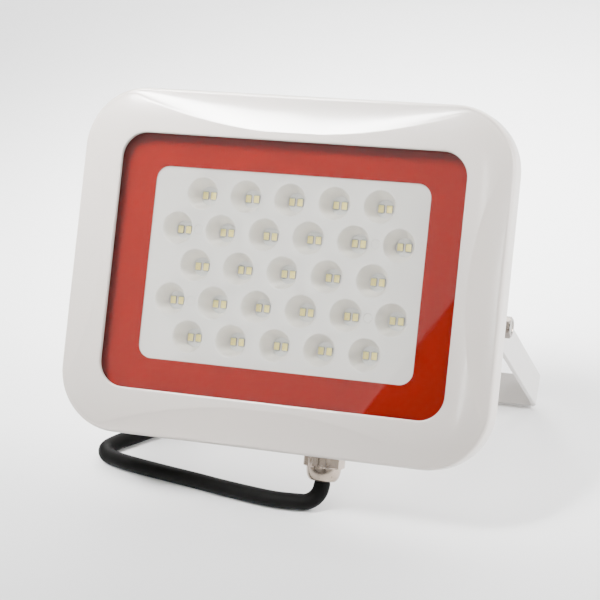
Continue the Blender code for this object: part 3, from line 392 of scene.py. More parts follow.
copper = metal("bare_copper", (0.78, 0.36, 0.2), (0.6, 0.25, 0.14), 0.28)
sleeves = (
    core_sleeve("brown_sleeve", (0.16, 0.06, 0.025)),
    core_sleeve("green_and_yellow_sleeve", (0.05, 0.3, 0.06), (0.75, 0.6, 0.05)),
    core_sleeve("blue_sleeve", (0.04, 0.2, 0.55)),
)
end = lead_path[-1]
along = (lead_path[-1] - lead_path[-2]).normalized()
up = Vector((0, 0, 1))
across_lead = along.cross(up)
bare = round(STRIPPED / MM)
sink = up * (CORE_RADIUS - LEAD_RADIUS) * 0.6
for i, (spread, lift) in enumerate(((-1, -0.5), (0, 1), (1, -0.5))):
    offset = across_lead * spread * CORE_SPREAD + up * lift * CORE_LIFT
    fan = across_lead * spread * CORE_FAN
    points = [
        end + along * FIT + offset,
        end + along * 0.12 * CORE_LENGTH + offset,
        end + along * 0.45 * CORE_LENGTH + offset * 1.4 + fan * 0.3 + sink,
        end + along * 0.75 * CORE_LENGTH + fan + across_lead * spread * MM,
        end + along * CORE_LENGTH + fan * 1.5 + across_lead * spread * MM,
    ]
    for point in points[3:]:
        point.z = CORE_RADIUS
    points[2].z = max(points[2].z, CORE_RADIUS)
    line = smooth_route(points, MM)
    for point in line:
        point.z = max(point.z, CORE_RADIUS)
    bm = bmesh.new()
    swept(bm, line[:-bare], CORE_RADIUS, CORE_SIDES)
    tail = smooth_route(line[-bare - 3:], 0.5 * MM)
    heading = (tail[-1] - tail[0]).normalized()
    flat = heading.cross(up)
    for strand in range(STRANDS):
        reach = 0.0 if strand == 0 else 2.1 * STRAND_RADIUS
        path = []
        for k, point in enumerate(tail):
            turn = 2 * pi * strand / (STRANDS - 1) + STRAND_TWIST * k
            path.append(point + (flat * cos(turn) + up * sin(turn)) * reach)
        swept(bm, path, STRAND_RADIUS, STRAND_SIDES, 1)
    put(f"stripped_core_{i + 1}", closed(bm), [sleeves[i], copper],
                     f"lead_core_{i + 1}", place=Matrix())
coat(rubber, "inner_lead", "gland_seal", "gland_washer")

# The bezel: one die-cast aluminium frame, painted white. Its face is slightly crowned, with a
# crescent hollowed into each side up to a soft crease, and it holds the glass by its lip.
BEZEL_WIDTH = 193.2 * MM
BEZEL_HEIGHT = 150.6 * MM
BEZEL_CORNER = 27.0 * MM
OPENING_WIDTH = 154.8 * MM
OPENING_HEIGHT = 110.6 * MM
OPENING_CORNER = 11.0 * MM
BEZEL_WALL = 2.5 * MM
BEZEL_DEPTH = 13.6 * MM
EDGE_DEPTH = 11.6 * MM
EDGE_ROUND = 1.4 * MM
EDGE_RADIUS = 2.6 * MM
EDGE_BREAK = 0.3 * MM
ARC_STEPS = 14
EDGE_STEPS = 8
LIP_STEPS = 4
LONG_STEPS = 46
SHORT_STEPS = 36
LIP = 1.2 * MM
RIB = 2.2 * MM
BEZEL_ROOF = 0.6 * MM
REBATE = 4.9 * MM
GLASS_FRONT = 11.6 * MM
GASKET_THICK = 1.0 * MM
CREASE_SOFT = 0.07 * MM
CREASE_REACH = 1.2 * MM
CRESCENT_FLATNESS = 0.2
LONG_CRESCENT = 16.9 * MM
LONG_CRESCENT_RADIUS = 205.0 * MM
SHORT_CRESCENT = 14.7 * MM
SHORT_CRESCENT_RADIUS = 125.0 * MM
BEZEL_SCREW_LONG = 58.0 * MM
BEZEL_SCREW_SHORT = 38.0 * MM
BEZEL_SCREW_EDGE = 7.4 * MM
BOSS_RADIUS = 3.4 * MM
BOSS_HOLE = 1.9 * MM
BOSS_GAP = 1.2 * MM
BOSS_SIDES = 24
CONE_TIP = 0.01 * MM


def outline(width, height, corner, arc_steps=ARC_STEPS, long_steps=1, short_steps=1):
    """A rounded rectangle in X and Z, as stations (x, z, outward x, outward z)."""
    cx = width / 2 - corner
    cz = height / 2 - corner
    corners = ((1, 1), (-1, 1), (-1, -1), (1, -1))
    stations = []
    for k, (sx, sz) in enumerate(corners):
        for i in range(arc_steps + 1):
            turn = pi / 2 * (k + i / arc_steps)
            nx, nz = cos(turn), sin(turn)
            stations.append((sx * cx + corner * nx, sz * cz + corner * nz, nx, nz))
        tx, tz = corners[(k + 1) % 4]
        far = (tx * cx + corner * nx, tz * cz + corner * nz)
        steps = long_steps if k % 2 == 0 else short_steps
        near = stations[-1]
        for i in range(1, steps):
            x, z = (a + (b - a) * i / steps for a, b in zip(near, far))
            stations.append((x, z, nx, nz))
    return stations


def nest(*steps):
    """Matching stations of the bezel's outer edge and of its opening."""
    outer = outline(BEZEL_WIDTH, BEZEL_HEIGHT, BEZEL_CORNER, *steps)
    return list(zip(outer, outline(OPENING_WIDTH, OPENING_HEIGHT, OPENING_CORNER, *steps)))


def span(pair):
    """The bezel's width at a pair of stations, measured square to its edge."""
    outer, opening = pair
    return (outer[0] - opening[0]) * outer[2] + (outer[1] - opening[1]) * outer[3]


def across(pair, distance):
    """The point `distance` inwards from the bezel's outer edge at a pair of stations."""
    share = distance / span(pair)
    outer, opening = pair
    return tuple(a + (b - a) * share for a, b in zip(outer[:2], opening[:2]))


PLAIN = nest(ARC_STEPS)


def from_edge(distance):
    return [across(pair, distance) for pair in PLAIN]


def from_opening(distance):
    return [across(pair, span(pair) - distance) for pair in PLAIN]


def at(points, y):
    return [(point[0], y, point[1]) for point in points]


def crown(pair, distance):
    """Depth of the bezel's rounded face at `distance` from its outer edge."""
    share = (distance - EDGE_ROUND) / (span(pair) - EDGE_ROUND)
    return BEZEL_DEPTH - (BEZEL_DEPTH - EDGE_DEPTH) * (1 - share) ** 3


def crease(pair):
    """Where the crescent cut into the face meets the rounded part, as a distance inwards."""
    most = span(pair) - 2.5 * EDGE_ROUND
    reach = 1.6 * EDGE_ROUND
    for half, sag, radius, side in (
        (BEZEL_HEIGHT / 2, LONG_CRESCENT, LONG_CRESCENT_RADIUS, 1),
        (BEZEL_WIDTH / 2, SHORT_CRESCENT, SHORT_CRESCENT_RADIUS, 0),
    ):
        low, high = EDGE_ROUND, most
        for _ in range(30):
            middle = (low + high) / 2
            point = across(pair, middle)
            inside = half - abs(point[side]) < sag - point[1 - side] ** 2 / (2 * radius)
            low, high = (middle, high) if inside else (low, middle)
        reach = max(reach, low)
    return reach


def face_depth(pair, fold, distance):
    """The lower of the crescent's hollow and the crowned face, with a soft crease between."""
    rise = crown(pair, fold) - EDGE_DEPTH
    share = (distance - EDGE_ROUND) / (fold - EDGE_ROUND)
    hollow = EDGE_DEPTH + rise * share * (CRESCENT_FLATNESS + (1 - CRESCENT_FLATNESS) * share)
    full = crown(pair, distance)
    mix = max(0.0, min(1.0, 0.5 + 0.5 * (full - hollow) / CREASE_SOFT))
    return full * (1 - mix) + hollow * mix - CREASE_SOFT * mix * (1 - mix)


def quarter(steps):
    """Even turns from nothing to a quarter."""
    return [pi / 2 * k / steps for k in range(steps + 1)]


def bezel_section(pair):
    """(distance inwards, depth) round the bezel's cut, from its back corner over its face."""
    wide = span(pair)
    fold = crease(pair)
    section = [(EDGE_BREAK, 0.0), (0.0, EDGE_BREAK), (0.0, 0.5 * (EDGE_DEPTH - EDGE_RADIUS))]
    for turn in quarter(EDGE_STEPS):
        section.append((EDGE_ROUND * (1 - cos(turn)), EDGE_DEPTH - EDGE_RADIUS * (1 - sin(turn))))
    inner = wide - 0.6 * EDGE_ROUND
    before = min(CREASE_REACH, 0.45 * (fold - EDGE_ROUND))
    after = min(CREASE_REACH, 0.3 * (inner - fold))
    places = [EDGE_ROUND + (fold - before - EDGE_ROUND) * share for share in (0.06, 0.3, 0.6)]
    places += [fold + before * share for share in (-1.0, -0.6, -0.3, -0.1)]
    places += [fold + after * share for share in (0.1, 0.3, 0.6, 1.0)]
    places += [fold + after + (inner - fold - after) * share for share in (0.3, 0.6, 0.92)]
    section += [(place, face_depth(pair, fold, place)) for place in places]
    for turn in quarter(LIP_STEPS):
        section.append((inner + 0.6 * EDGE_ROUND * sin(turn),
                        BEZEL_DEPTH - 0.5 * LIP * (1 - cos(turn))))
    lip_back = GLASS_FRONT + FIT
    roof = EDGE_DEPTH - BEZEL_ROOF
    return section + [
        (wide, lip_back), (wide - REBATE, lip_back), (wide - REBATE, GASKET_THICK + FIT),
        (wide - REBATE - RIB, GASKET_THICK + FIT), (wide - REBATE - RIB, roof),
        (BEZEL_WALL, EDGE_DEPTH - BEZEL_WALL), (BEZEL_WALL, 0.0),
    ]


def walls(bm, loops, ring=False):
    """Rows of vertices at equal loops of points, with faces from each row to the next."""
    rows = [[bm.verts.new(point) for point in loop] for loop in loops]
    pairs = list(zip(rows, rows[1:] + rows[:1]))
    for near, far in pairs if ring else pairs[:-1]:
        for i in range(len(near)):
            j = (i + 1) % len(near)
            bm.faces.new((near[i], near[j], far[j], far[i]))
    return rows


def loft(bm, loops, ring=False):
    """A closed shape through equal loops of points: capped at both ends, or made a ring."""
    rows = walls(bm, loops, ring)
    if not ring:
        bm.faces.new(rows[0])
        bm.faces.new(rows[-1])


def shape(loops, ring=False):
    bm = bmesh.new()
    loft(bm, loops, ring)
    return closed(bm)


def rounded(x, z, radius, sides):
    """Points (x, z) round a circle."""
    return [(x + radius * cos(2 * pi * k / sides), z + radius * sin(2 * pi * k / sides))
            for k in range(sides)]


def circle(x, z, radius, y, sides=32):
    return at(rounded(x, z, radius, sides), y)


def revolved(bm, x, z, profile, sides=32, ring=False):
    """A shape turned round an axis along Y, from (radius, y) steps."""
    loft(bm, [circle(x, z, radius, y, sides) for radius, y in profile], ring)


def mirrored(x, z):
    """The four places at x and z on both sides of the middle."""
    return [(sx * x, sz * z) for sx in (-1, 1) for sz in (-1, 1)]


def bezel_screw_places():
    x = BEZEL_WIDTH / 2 - BEZEL_SCREW_EDGE
    z = BEZEL_HEIGHT / 2 - BEZEL_SCREW_EDGE
    return mirrored(BEZEL_SCREW_LONG, z) + mirrored(x, BEZEL_SCREW_SHORT)


def paint_skin():
    """The faint orange peel of baked paint, a finer tooth, and slow clouds of tone."""
    group, given, place = effect("paint_skin", {"Scale": 520.0, "Tooth": 0.3},
                                 ("Height", "Tone"))
    peel = noise(group, place, given["Scale"], 1.0, 0.4)
    tooth = noise(group, place, 3600.0, 2.0, 0.6)
    height = reckoned(group, "ADD", peel, reckoned(group, "MULTIPLY", tooth, given["Tooth"]))
    tone = ranged(group, noise(group, place, 26.0, 2.0, 0.4), 0.2, 0.8)
    settle(group, {"Height": height, "Tone": tone})
    return group


SKIN = paint_skin()


def baked_paint(name, colour, shade, roughness, scale, tooth, depth, dust, **fixed):
    """Baked paint on cast or folded metal."""
    material, tree, shader = surface(name, roughness, **fixed)
    skin = grouped(tree, SKIN, Scale=scale, Tooth=tooth)
    base = blend_colour(tree, skin["Tone"], colour, shade)
    base = blend_colour(tree, grouped(tree, DUST, Amount=dust)["Mask"], base, DUST_COLOUR)
    gloss = ranged(tree, skin["Tone"], 0.0, 1.0, roughness - 0.03, roughness + 0.03)
    link(tree, shader, Base_Color=base, Roughness=gloss,
         Normal=bump(tree, skin["Height"], 0.35, depth * MM))
    return material


bezel_paint = baked_paint("white_bezel_paint", (0.655, 0.60, 0.55), (0.645, 0.59, 0.54),
                          0.3, 520.0, 0.15, 0.02, 0.005, Coat_Weight=0.5, Coat_Roughness=0.1)
columns = []
for pair in nest(ARC_STEPS, LONG_STEPS, SHORT_STEPS):
    points = [(across(pair, inwards), depth) for inwards, depth in bezel_section(pair)]
    columns.append([(x, -depth, z) for (x, z), depth in points])
bm = bmesh.new()
loft(bm, list(zip(*columns)), ring=True)
top = BOSS_GAP - EDGE_DEPTH
for x, z in bezel_screw_places():
    revolved(bm, x, z, [
        (BOSS_HOLE, 0.0), (BOSS_HOLE, 0.8 * top), (CONE_TIP, 0.8 * top - 0.5 * MM), (CONE_TIP, top),
        (BOSS_RADIUS, top), (BOSS_RADIUS, 0.0)], BOSS_SIDES, True)
put("bezel_casting", closed(bm), [bezel_paint], "bezel", sharp=28)

# The glass: a clear toughened pane, 4 mm thick with ground edges, in a grey silicone gasket.
# A red border is printed on its back and leaves a window over the cups.
GLASS_THICK = 4.0 * MM
GLASS_LAP = 3.2 * MM
GROUND_EDGE = 0.4 * MM
PRINT_THICK = 0.15 * MM
WINDOW_WIDTH = 123.8 * MM
WINDOW_HEIGHT = 83.6 * MM
WINDOW_CORNER = 6.0 * MM


def clear_glass():
    """Clear glass that lets the lamps' light through to what is behind it."""
    material, tree, shader = surface("clear_glass", 0.02, IOR=1.5, Transmission_Weight=1.0)
    shader.inputs["Base Color"].default_value = (0.985, 0.99, 0.985, 1.0)
    smears = ranged(tree, noise(tree, place_on(tree), 45.0, 4.0, 0.6), 0.45, 0.75, 0.012, 0.035)
    link(tree, shader, Roughness=smears)
    light = tree.nodes.new("ShaderNodeLightPath").outputs["Is Shadow Ray"]
    through = node(tree, "ShaderNodeBsdfTransparent", {"Color": (0.93, 0.94, 0.93, 1.0)})
    both = node(tree, "ShaderNodeMixShader", {0: light, 1: shader.outputs["BSDF"],
                                              2: through.outputs["BSDF"]})
    tree.links.new(both.outputs[0], tree.nodes["Material Output"].inputs["Surface"])
    return material


def printed_border():
    """Screen-printed enamel: even red, with a very fine screen texture."""
    material, tree, shader = surface("red_printed_border", 0.32, Specular_IOR_Level=0.0)
    grain = grouped(tree, GRAIN, Scale=1800.0)
    base = blend_colour(tree, grain["Tone"], (0.185, 0.0044, 0.0008), (0.170, 0.0038, 0.0006))
    link(tree, shader, Base_Color=base, Normal=bump(tree, grain["Height"], 0.15, 0.01 * MM))
    return material


silicone = moulded("grey_silicone", (0.35, 0.35, 0.34), (0.3, 0.3, 0.29), 0.55, 1800.0)
coat(silicone, "glass_gasket", "bezel_gasket", "rear_gasket")
pane = [
    at(from_opening(GLASS_LAP - GROUND_EDGE), -GLASS_FRONT),
    at(from_opening(GLASS_LAP), -GLASS_FRONT + GROUND_EDGE),
    at(from_opening(GLASS_LAP), -GLASS_FRONT + GLASS_THICK - GROUND_EDGE),
    at(from_opening(GLASS_LAP - GROUND_EDGE), -GLASS_FRONT + GLASS_THICK),
]
put("glass_pane", shape(pane), [clear_glass()], "glass", sharp=20)
print_front = -(GLASS_FRONT - GLASS_THICK - FIT)
window = outline(WINDOW_WIDTH, WINDOW_HEIGHT, WINDOW_CORNER)
print_back = print_front + PRINT_THICK
border = [at(from_opening(GLASS_LAP), print_front), at(window, print_front),
          at(window, print_back), at(from_opening(GLASS_LAP), print_back)]
put("printed_border", shape(border, ring=True), [printed_border()], "glass_print", sharp=20)

# The reflector: one white plastic moulding with a cup for each pair of LEDs, in staggered rows.
# Four pins hold it down; the cups stand on the LED board.
LED_ROWS = (5, 6, 5, 6, 5)
LED_PITCH_X = 20.0 * MM
LED_PITCH_Z = 15.5 * MM
REFLECTOR_FRONT = 6.85 * MM
REFLECTOR_THICK = 1.1 * MM
CUP_RIM = 7.0 * MM
CUP_FLOOR = 4.0 * MM
CUP_WALL = 1.0 * MM
CUP_DEPTH = 8.85 * MM
CUP_ROUND = 0.8 * MM
CUP_SAG = 1.4 * MM
CUP_SIDES = 48
PIN_RADIUS = 2.0 * MM
PIN_SEAM = 0.08 * MM
PIN_TIP = 1.2 * MM
PIN_TAIL = 4.2 * MM
PIN_SIDES = 24
POST_WALL = 0.8 * MM
WELD = 0.002 * MM


def repeat_tree():
    """Puts a piece on every point of a mesh, turned about Y by a random angle up to Turn."""
    tree = bpy.data.node_groups.new("repeat_at_places", "GeometryNodeTree")
    for label, kind in (("Places", "NodeSocketGeometry"), ("Piece", "NodeSocketObject"),
                        ("Turn", "NodeSocketFloat"), ("Seed", "NodeSocketInt"),
                        ("Material", "NodeSocketMaterial")):
        tree.interface.new_socket(label, in_out="INPUT", socket_type=kind)
    tree.interface.new_socket("Pieces", in_out="OUTPUT", socket_type="NodeSocketGeometry")
    given = tree.nodes.new("NodeGroupInput").outputs
    piece = node(tree, "GeometryNodeObjectInfo", {"Object": given["Piece"]})
    angle = node(tree, "FunctionNodeRandomValue", {3: given["Turn"], "Seed": given["Seed"]},
                 data_type="FLOAT")
    turn = node(tree, "ShaderNodeCombineXYZ", {"Y": angle.outputs[1]})
    copies = node(tree, "GeometryNodeInstanceOnPoints", {
        "Points": given["Places"], "Instance": piece.outputs["Geometry"],
        "Rotation": turn.outputs[0]})
    real = node(tree, "GeometryNodeRealizeInstances", {0: copies.outputs[0]})
    done = node(tree, "GeometryNodeSetMaterial", {"Geometry": real.outputs[0],
                                                  "Material": given["Material"]})
    tree.links.new(done.outputs[0], tree.nodes.new("NodeGroupOutput").inputs[0])
    return tree


REPEAT = repeat_tree()


def evaluated(item, spare):
    """The item's mesh as its modifier leaves it; the item and the spare are then removed."""
    bpy.context.view_layer.update()
    shown = item.evaluated_get(bpy.context.evaluated_depsgraph_get())
    mesh = bpy.data.meshes.new_from_object(shown)
    for done in (item, spare):
        bpy.data.objects.remove(done, do_unlink=True)
    return mesh


def repeated(name, piece_mesh, places, material, turn=0.0, seed=1):
    """One plain mesh of a piece repeated at places (x, y, z)."""
    points = bpy.data.meshes.new(name)
    points.from_pydata(places, [], [])
    carrier = linked(name, points)
    sample = linked(name + "_one", piece_mesh)
    modifier = carrier.modifiers.new("repeat", "NODES")
    modifier.node_group = REPEAT
    values = {"Piece": sample, "Turn": turn, "Seed": seed, "Material": material}
    for socket in REPEAT.interface.items_tree:
        if socket.in_out == "INPUT" and socket.name in values:
            modifier[socket.identifier] = values[socket.name]
    return evaluated(carrier, sample)


def cup_centres():
    """Centres of the cups: odd rows are shifted by half a pitch."""
    middle = (len(LED_ROWS) - 1) / 2
    return [((column - (count - 1) / 2) * LED_PITCH_X, (middle - row) * LED_PITCH_Z)
            for row, count in enumerate(LED_ROWS) for column in range(count)]


def pin_centres():
    return mirrored(2 * LED_PITCH_X, LED_PITCH_Z)


def cup_profile():
    """(radius, depth) over a cup's rounded rim, down its wall, round its foot and up its back."""
    slope = (CUP_RIM - CUP_FLOOR) / CUP_DEPTH
    mouth_radius = CUP_RIM + CUP_ROUND * 0.75
    steps = [(mouth_radius, 0.0)]
    for k in range(1, 8):
        turn = radians(12 + 62 * k / 7)
        steps.append((mouth_radius - CUP_ROUND * sin(turn), CUP_ROUND * (1 - cos(turn))))
    top = steps[-1]
    for share in (0.3, 0.6, 0.85, 1.0):
        depth = top[1] + (CUP_DEPTH - top[1]) * share
        sag = CUP_SAG * share * (1 - share)
        steps.append((top[0] + (CUP_FLOOR - top[0]) * share + sag, depth))
    steps.append((CUP_FLOOR + CUP_WALL, CUP_DEPTH))
    steps.append((CUP_RIM + CUP_WALL - slope * REFLECTOR_THICK, REFLECTOR_THICK))
    return steps


def filled(bm, loops, y):
    """A flat face at y inside the first loop, with the others as holes."""
    edges = []
    for loop in loops:
        ring = [bm.verts.new((x, y, z)) for x, z in loop]
        edges += [bm.edges.new((a, b)) for a, b in zip(ring, ring[1:] + ring[:1])]
    bmesh.ops.triangle_fill(bm, use_beauty=True, use_dissolve=False, edges=edges)


def rounds(centres, radius, sides):
    return [rounded(x, z, radius, sides) for x, z in centres]


white_plastic = moulded("white_reflector_plastic", (0.90, 0.87, 0.825), (0.885, 0.855, 0.81),
                        0.42, 2400.0, 0.008)
steps = cup_profile()
bm = bmesh.new()
walls(bm, [circle(0, 0, radius, depth - REFLECTOR_FRONT, CUP_SIDES) for radius, depth in steps])
one_cup = bpy.data.meshes.new("cup")
bm.to_mesh(one_cup)
bm.free()
cups = repeated("cups", one_cup, [(x, 0.0, z) for x, z in cup_centres()], white_plastic)
bm = bmesh.new()
bm.from_mesh(cups)
edge = from_opening(GLASS_LAP)
hole = PIN_RADIUS + PIN_SEAM
post = PIN_RADIUS + FIT + POST_WALL
front = -REFLECTOR_FRONT
back = front + REFLECTOR_THICK
filled(bm, [edge] + rounds(cup_centres(), steps[0][0], CUP_SIDES)
       + rounds(pin_centres(), hole, PIN_SIDES), front)
filled(bm, [edge] + rounds(cup_centres(), steps[-1][0], CUP_SIDES)
       + rounds(pin_centres(), post, PIN_SIDES), back)
walls(bm, [at(edge, front), at(edge, back)])
foot = front + CUP_DEPTH
for x, z in pin_centres():
    walls(bm, [circle(x, z, radius, y, PIN_SIDES)
               for radius, y in ((hole, front), (hole, foot), (post, foot), (post, back))])
bmesh.ops.remove_doubles(bm, verts=bm.verts, dist=WELD)
put("reflector_moulding", closed(bm), [white_plastic], "reflector", sharp=11)
bm = bmesh.new()
revolved(bm, 0, 0, [
    (PIN_RADIUS - 0.25 * MM, front + 0.02 * MM), (PIN_RADIUS, front + 0.2 * MM),
    (PIN_RADIUS, foot), (PIN_TIP, foot + 0.1 * MM), (PIN_TIP, foot + PIN_TAIL)], PIN_SIDES)
pin_places = [(x, 0.0, z) for x, z in pin_centres()]
pins = repeated("pins", closed(bm), pin_places, white_plastic)
put("reflector_pins", pins, [white_plastic], *[f"reflector_pin_{k}" for k in (1, 2, 3, 4)])

# The LED board: an aluminium-cored board with white lacquer, on a grey thermal pad. Two LED
# packages are soldered side by side in each cup, with yellow phosphor in their white frames.
BOARD_FRONT = 2.3 * MM
BOARD_THICK = 1.6 * MM
BOARD_WIDTH = 121.0 * MM
BOARD_HEIGHT = 83.0 * MM
BOARD_CORNER = 3.0 * MM
PACKAGE = (2.8 * MM, 0.8 * MM, 3.5 * MM)
PACKAGE_SPACING = 3.66 * MM
SOLDER_HALF = 0.9 * MM
SOLDER_FOOT = 0.35 * MM
SOLDER_TOP = 0.1 * MM
SOLDER_HEIGHT = 0.22 * MM


def package_loops(margins, corner):
    """Rounded rectangles up an LED package, from (margin, height) steps."""
    return [at(outline(PACKAGE[0] - 2 * margin, PACKAGE[2] - 2 * margin, corner, 4),
               BOARD_FRONT - height) for margin, height in margins]


def lacquer():
    """White solder mask with thin grey traces that show through it."""
    material, tree, shader = surface("white_board_lacquer", 0.35, Coat_Weight=0.2)
    brick = node(tree, "ShaderNodeTexBrick", {
        "Vector": place_on(tree), "Color1": (0.80, 0.80, 0.78, 1),
        "Color2": (0.78, 0.78, 0.76, 1), "Mortar": (0.70, 0.70, 0.68, 1), "Scale": 90.0,
        "Mortar Size": 0.01})
    grain = grouped(tree, GRAIN, Scale=2600.0)
    base = blend_colour(tree, ranged(tree, grain["Tone"], 0, 1, 0.0, 0.15),
                        brick.outputs["Color"], (0.72, 0.71, 0.68))
    link(tree, shader, Base_Color=base, Normal=bump(tree, grain["Height"], 0.3, 0.01 * MM))
    return material


def phosphor():
    """Yellow silicone over the LED dies, with darker grains in it."""
    material, tree, shader = surface("yellow_phosphor", 0.3, Coat_Weight=0.4)
    specks = ranged(tree, noise(tree, place_on(tree), 1400.0, 3.0, 0.7), 0.35, 0.7)
    base = blend_colour(tree, specks, (0.93, 0.84, 0.30), (0.84, 0.70, 0.17))
    link(tree, shader, Base_Color=base, Normal=bump(tree, specks, 0.4, 0.03 * MM))
    return material


board = outline(BOARD_WIDTH, BOARD_HEIGHT, BOARD_CORNER, 6)
put("lacquered_board", shape([at(board, BOARD_FRONT), at(board, BOARD_FRONT + BOARD_THICK)]),
    [lacquer()], "led_board")
package_places = [(x + side * PACKAGE_SPACING / 2, 0.0, z) for x, z in cup_centres()
                  for side in (-1, 1)]
package_plastic = moulded("led_package_plastic", (0.42, 0.39, 0.41), (0.34, 0.31, 0.33), 0.4,
                          4000.0, 0.01)
frame_steps = [(0.0, 0.0), (0.0, 0.6 * MM), (0.06 * MM, 0.8 * MM), (0.17 * MM, 0.8 * MM),
               (0.23 * MM, 0.45 * MM)]
packages = repeated("led_packages", shape(package_loops(frame_steps, 0.25 * MM)),
                    package_places, package_plastic)
put("led_packages", packages, [package_plastic])
yellow = phosphor()
fill_steps = [(0.25 * MM, 0.3 * MM), (0.2 * MM, 0.64 * MM), (0.4 * MM, 0.72 * MM),
              (0.9 * MM, 0.76 * MM)]
fills = repeated("led_phosphor", shape(package_loops(fill_steps, 0.2 * MM)), package_places,
                 yellow)
put("led_phosphor", fills, [yellow], sharp=45)
solder = metal("solder", (0.7, 0.7, 0.71), (0.55, 0.55, 0.56), 0.3)
bm = bmesh.new()
for side in (-1, 1):
    low = side * PACKAGE[2] / 2
    loops = []
    for half, reach, height in ((SOLDER_HALF, SOLDER_FOOT, 0.0),
                                (0.9 * SOLDER_HALF, SOLDER_TOP, SOLDER_HEIGHT)):
        high = low + side * reach
        corners = ((-half, low), (half, low), (half, high), (-half, high))
        loops.append(at(corners, BOARD_FRONT - height))
    loft(bm, loops)
put("led_solder", repeated("led_solder", closed(bm), package_places, solder), [solder])
pad_grey = moulded("thermal_pad_grey", (0.30, 0.36, 0.42), (0.26, 0.31, 0.37), 0.7)
coat(pad_grey, "thermal_pad")

# The housing: a die-cast aluminium tray with the driver's bay behind it and four cooling slots
# down each side. A boss at each side takes the bracket's bolt, one below takes the gland.
FLANGE_BACK = 3.3 * MM
TRAY_OUT = 7.4 * MM
TRAY_WALL = 3.4 * MM
PLATE_FRONT = 4.9 * MM
PLATE_BACK = 8.0 * MM
HOUSING_DEPTH = 24.0 * MM
DRAFT = 2.5 * MM
BAY_WIDTH = 96.0 * MM
BAY_HEIGHT = 110.0 * MM
BAY_CORNER = 8.0 * MM
SLOTS = 4
SLOT_WIDTH = 3.6 * MM
SLOT_PITCH = 6.5 * MM
SLOT_FLOOR = 11.0 * MM
SLOT_FIRST = 58.6 * MM
HOLE_SIDES = 24
BEZEL_SCREW_HOLE = 2.2 * MM
COVER_SCREW_HOLE = 1.8 * MM
COVER_SCREW_X = 53.2 * MM
COVER_SCREW_Z = 46.0 * MM
GLAND_HOLE = 6.3 * MM
WIRE_HOLE = 3.4 * MM
WIRE_Z = 37.5 * MM
BOLT_HOLE_DEPTH = 14.0 * MM
BOSS_FACE = 87.4 * MM
PIVOT_BOSS = 8.0 * MM
BOLT_HOLE = 2.8 * MM
GLAND_BOSS_RADIUS = 9.3 * MM
GLAND_FACE = -69.0 * MM
AXES = {
    "+X": Matrix.Rotation(-pi / 2, 4, "Z"),
    "-X": Matrix.Rotation(pi / 2, 4, "Z"),
    "+Y": Matrix.Identity(4),
    "-Y": Matrix.Rotation(pi, 4, "Z"),
    "+Z": Matrix.Rotation(pi / 2, 4, "X"),
    "-Z": Matrix.Rotation(-pi / 2, 4, "X"),
}


def turned(profile, centre, axis, sides=48, ring=False):
    """A turned shape from (radius, height) steps along one of the axes."""
    bm = bmesh.new()
    revolved(bm, 0, 0, profile, sides, ring)
    mesh = closed(bm)
    mesh.transform(Matrix.Translation(centre) @ AXES[axis])
    return mesh


def drill(radius, length, start, axis="+Y", sides=HOLE_SIDES):
    return turned([(radius, 0), (radius, length)], start, axis, sides)


def joined(meshes):
    bm = bmesh.new()
    for mesh in meshes:
        bm.from_mesh(mesh)
    made = bpy.data.meshes.new("joined")
    bm.to_mesh(made)
    bm.free()
    return made


def carved(mesh, tools, operation="DIFFERENCE"):
    """The mesh with tools cut from it or joined to it."""
    target = linked("target", mesh)
    tool = linked("tool", joined(tools))
    step = target.modifiers.new("carve", "BOOLEAN")
    step.operation = operation
    step.solver = "EXACT"
    step.object = tool
    return evaluated(target, tool)


def block(low, high):
    corners = ((low[0], low[2]), (high[0], low[2]), (high[0], high[2]), (low[0], high[2]))
    return shape([at(corners, low[1]), at(corners, high[1])])


def cover_screw_places():
    return [(side * COVER_SCREW_X, row * COVER_SCREW_Z) for side in (-1, 1) for row in (-1, 0, 1)]


housing_paint = baked_paint("white_housing_paint", (0.66, 0.62, 0.58), (0.635, 0.595, 0.555),
                            0.42, 700.0, 0.5, 0.05, 0.07)
bay = outline(BAY_WIDTH, BAY_HEIGHT, BAY_CORNER)
tray = from_opening(TRAY_OUT - TRAY_WALL)
body = shape([
    at(tray, PLATE_FRONT), at(tray, FIT), at(from_edge(1.4 * MM), FIT),
    at(from_edge(1.4 * MM), FLANGE_BACK - 0.4 * MM), at(from_edge(1.8 * MM), FLANGE_BACK),
    at(from_opening(TRAY_OUT + 0.7 * MM), FLANGE_BACK),
    at(from_opening(TRAY_OUT + 0.2 * MM), FLANGE_BACK + 0.2 * MM),
    at(from_opening(TRAY_OUT), FLANGE_BACK + 0.7 * MM),
    at(from_opening(TRAY_OUT - 0.6 * DRAFT), HOUSING_DEPTH - 1.6 * MM),
    at(from_opening(TRAY_OUT - 0.68 * DRAFT), HOUSING_DEPTH - 0.8 * MM),
    at(from_opening(TRAY_OUT - 0.82 * DRAFT), HOUSING_DEPTH - 0.2 * MM),
    at(from_opening(TRAY_OUT - DRAFT), HOUSING_DEPTH), at(bay, HOUSING_DEPTH),
    at(bay, PLATE_BACK),
])
slot = block((-SLOT_WIDTH / 2, SLOT_FLOOR, -BEZEL_HEIGHT / 2),
             (SLOT_WIDTH / 2, HOUSING_DEPTH + MM, BEZEL_HEIGHT / 2))
slot_places = [(side * (SLOT_FIRST + k * SLOT_PITCH), 0.0, 0.0) for side in (-1, 1)
               for k in range(SLOTS)]
body = carved(body, [repeated("slots", slot, slot_places, housing_paint)])
root = OPENING_WIDTH / 2 + TRAY_OUT - 2.2 * SLOT_PITCH
length = BOSS_FACE - root
profile = [(PIVOT_BOSS, 0), (PIVOT_BOSS, length - 0.4 * MM), (PIVOT_BOSS - 0.4 * MM, length)]
bosses = [turned(profile, (side * root, PIVOT_Y, PIVOT_Z), axis)
          for side, axis in ((-1, "-X"), (1, "+X"))]
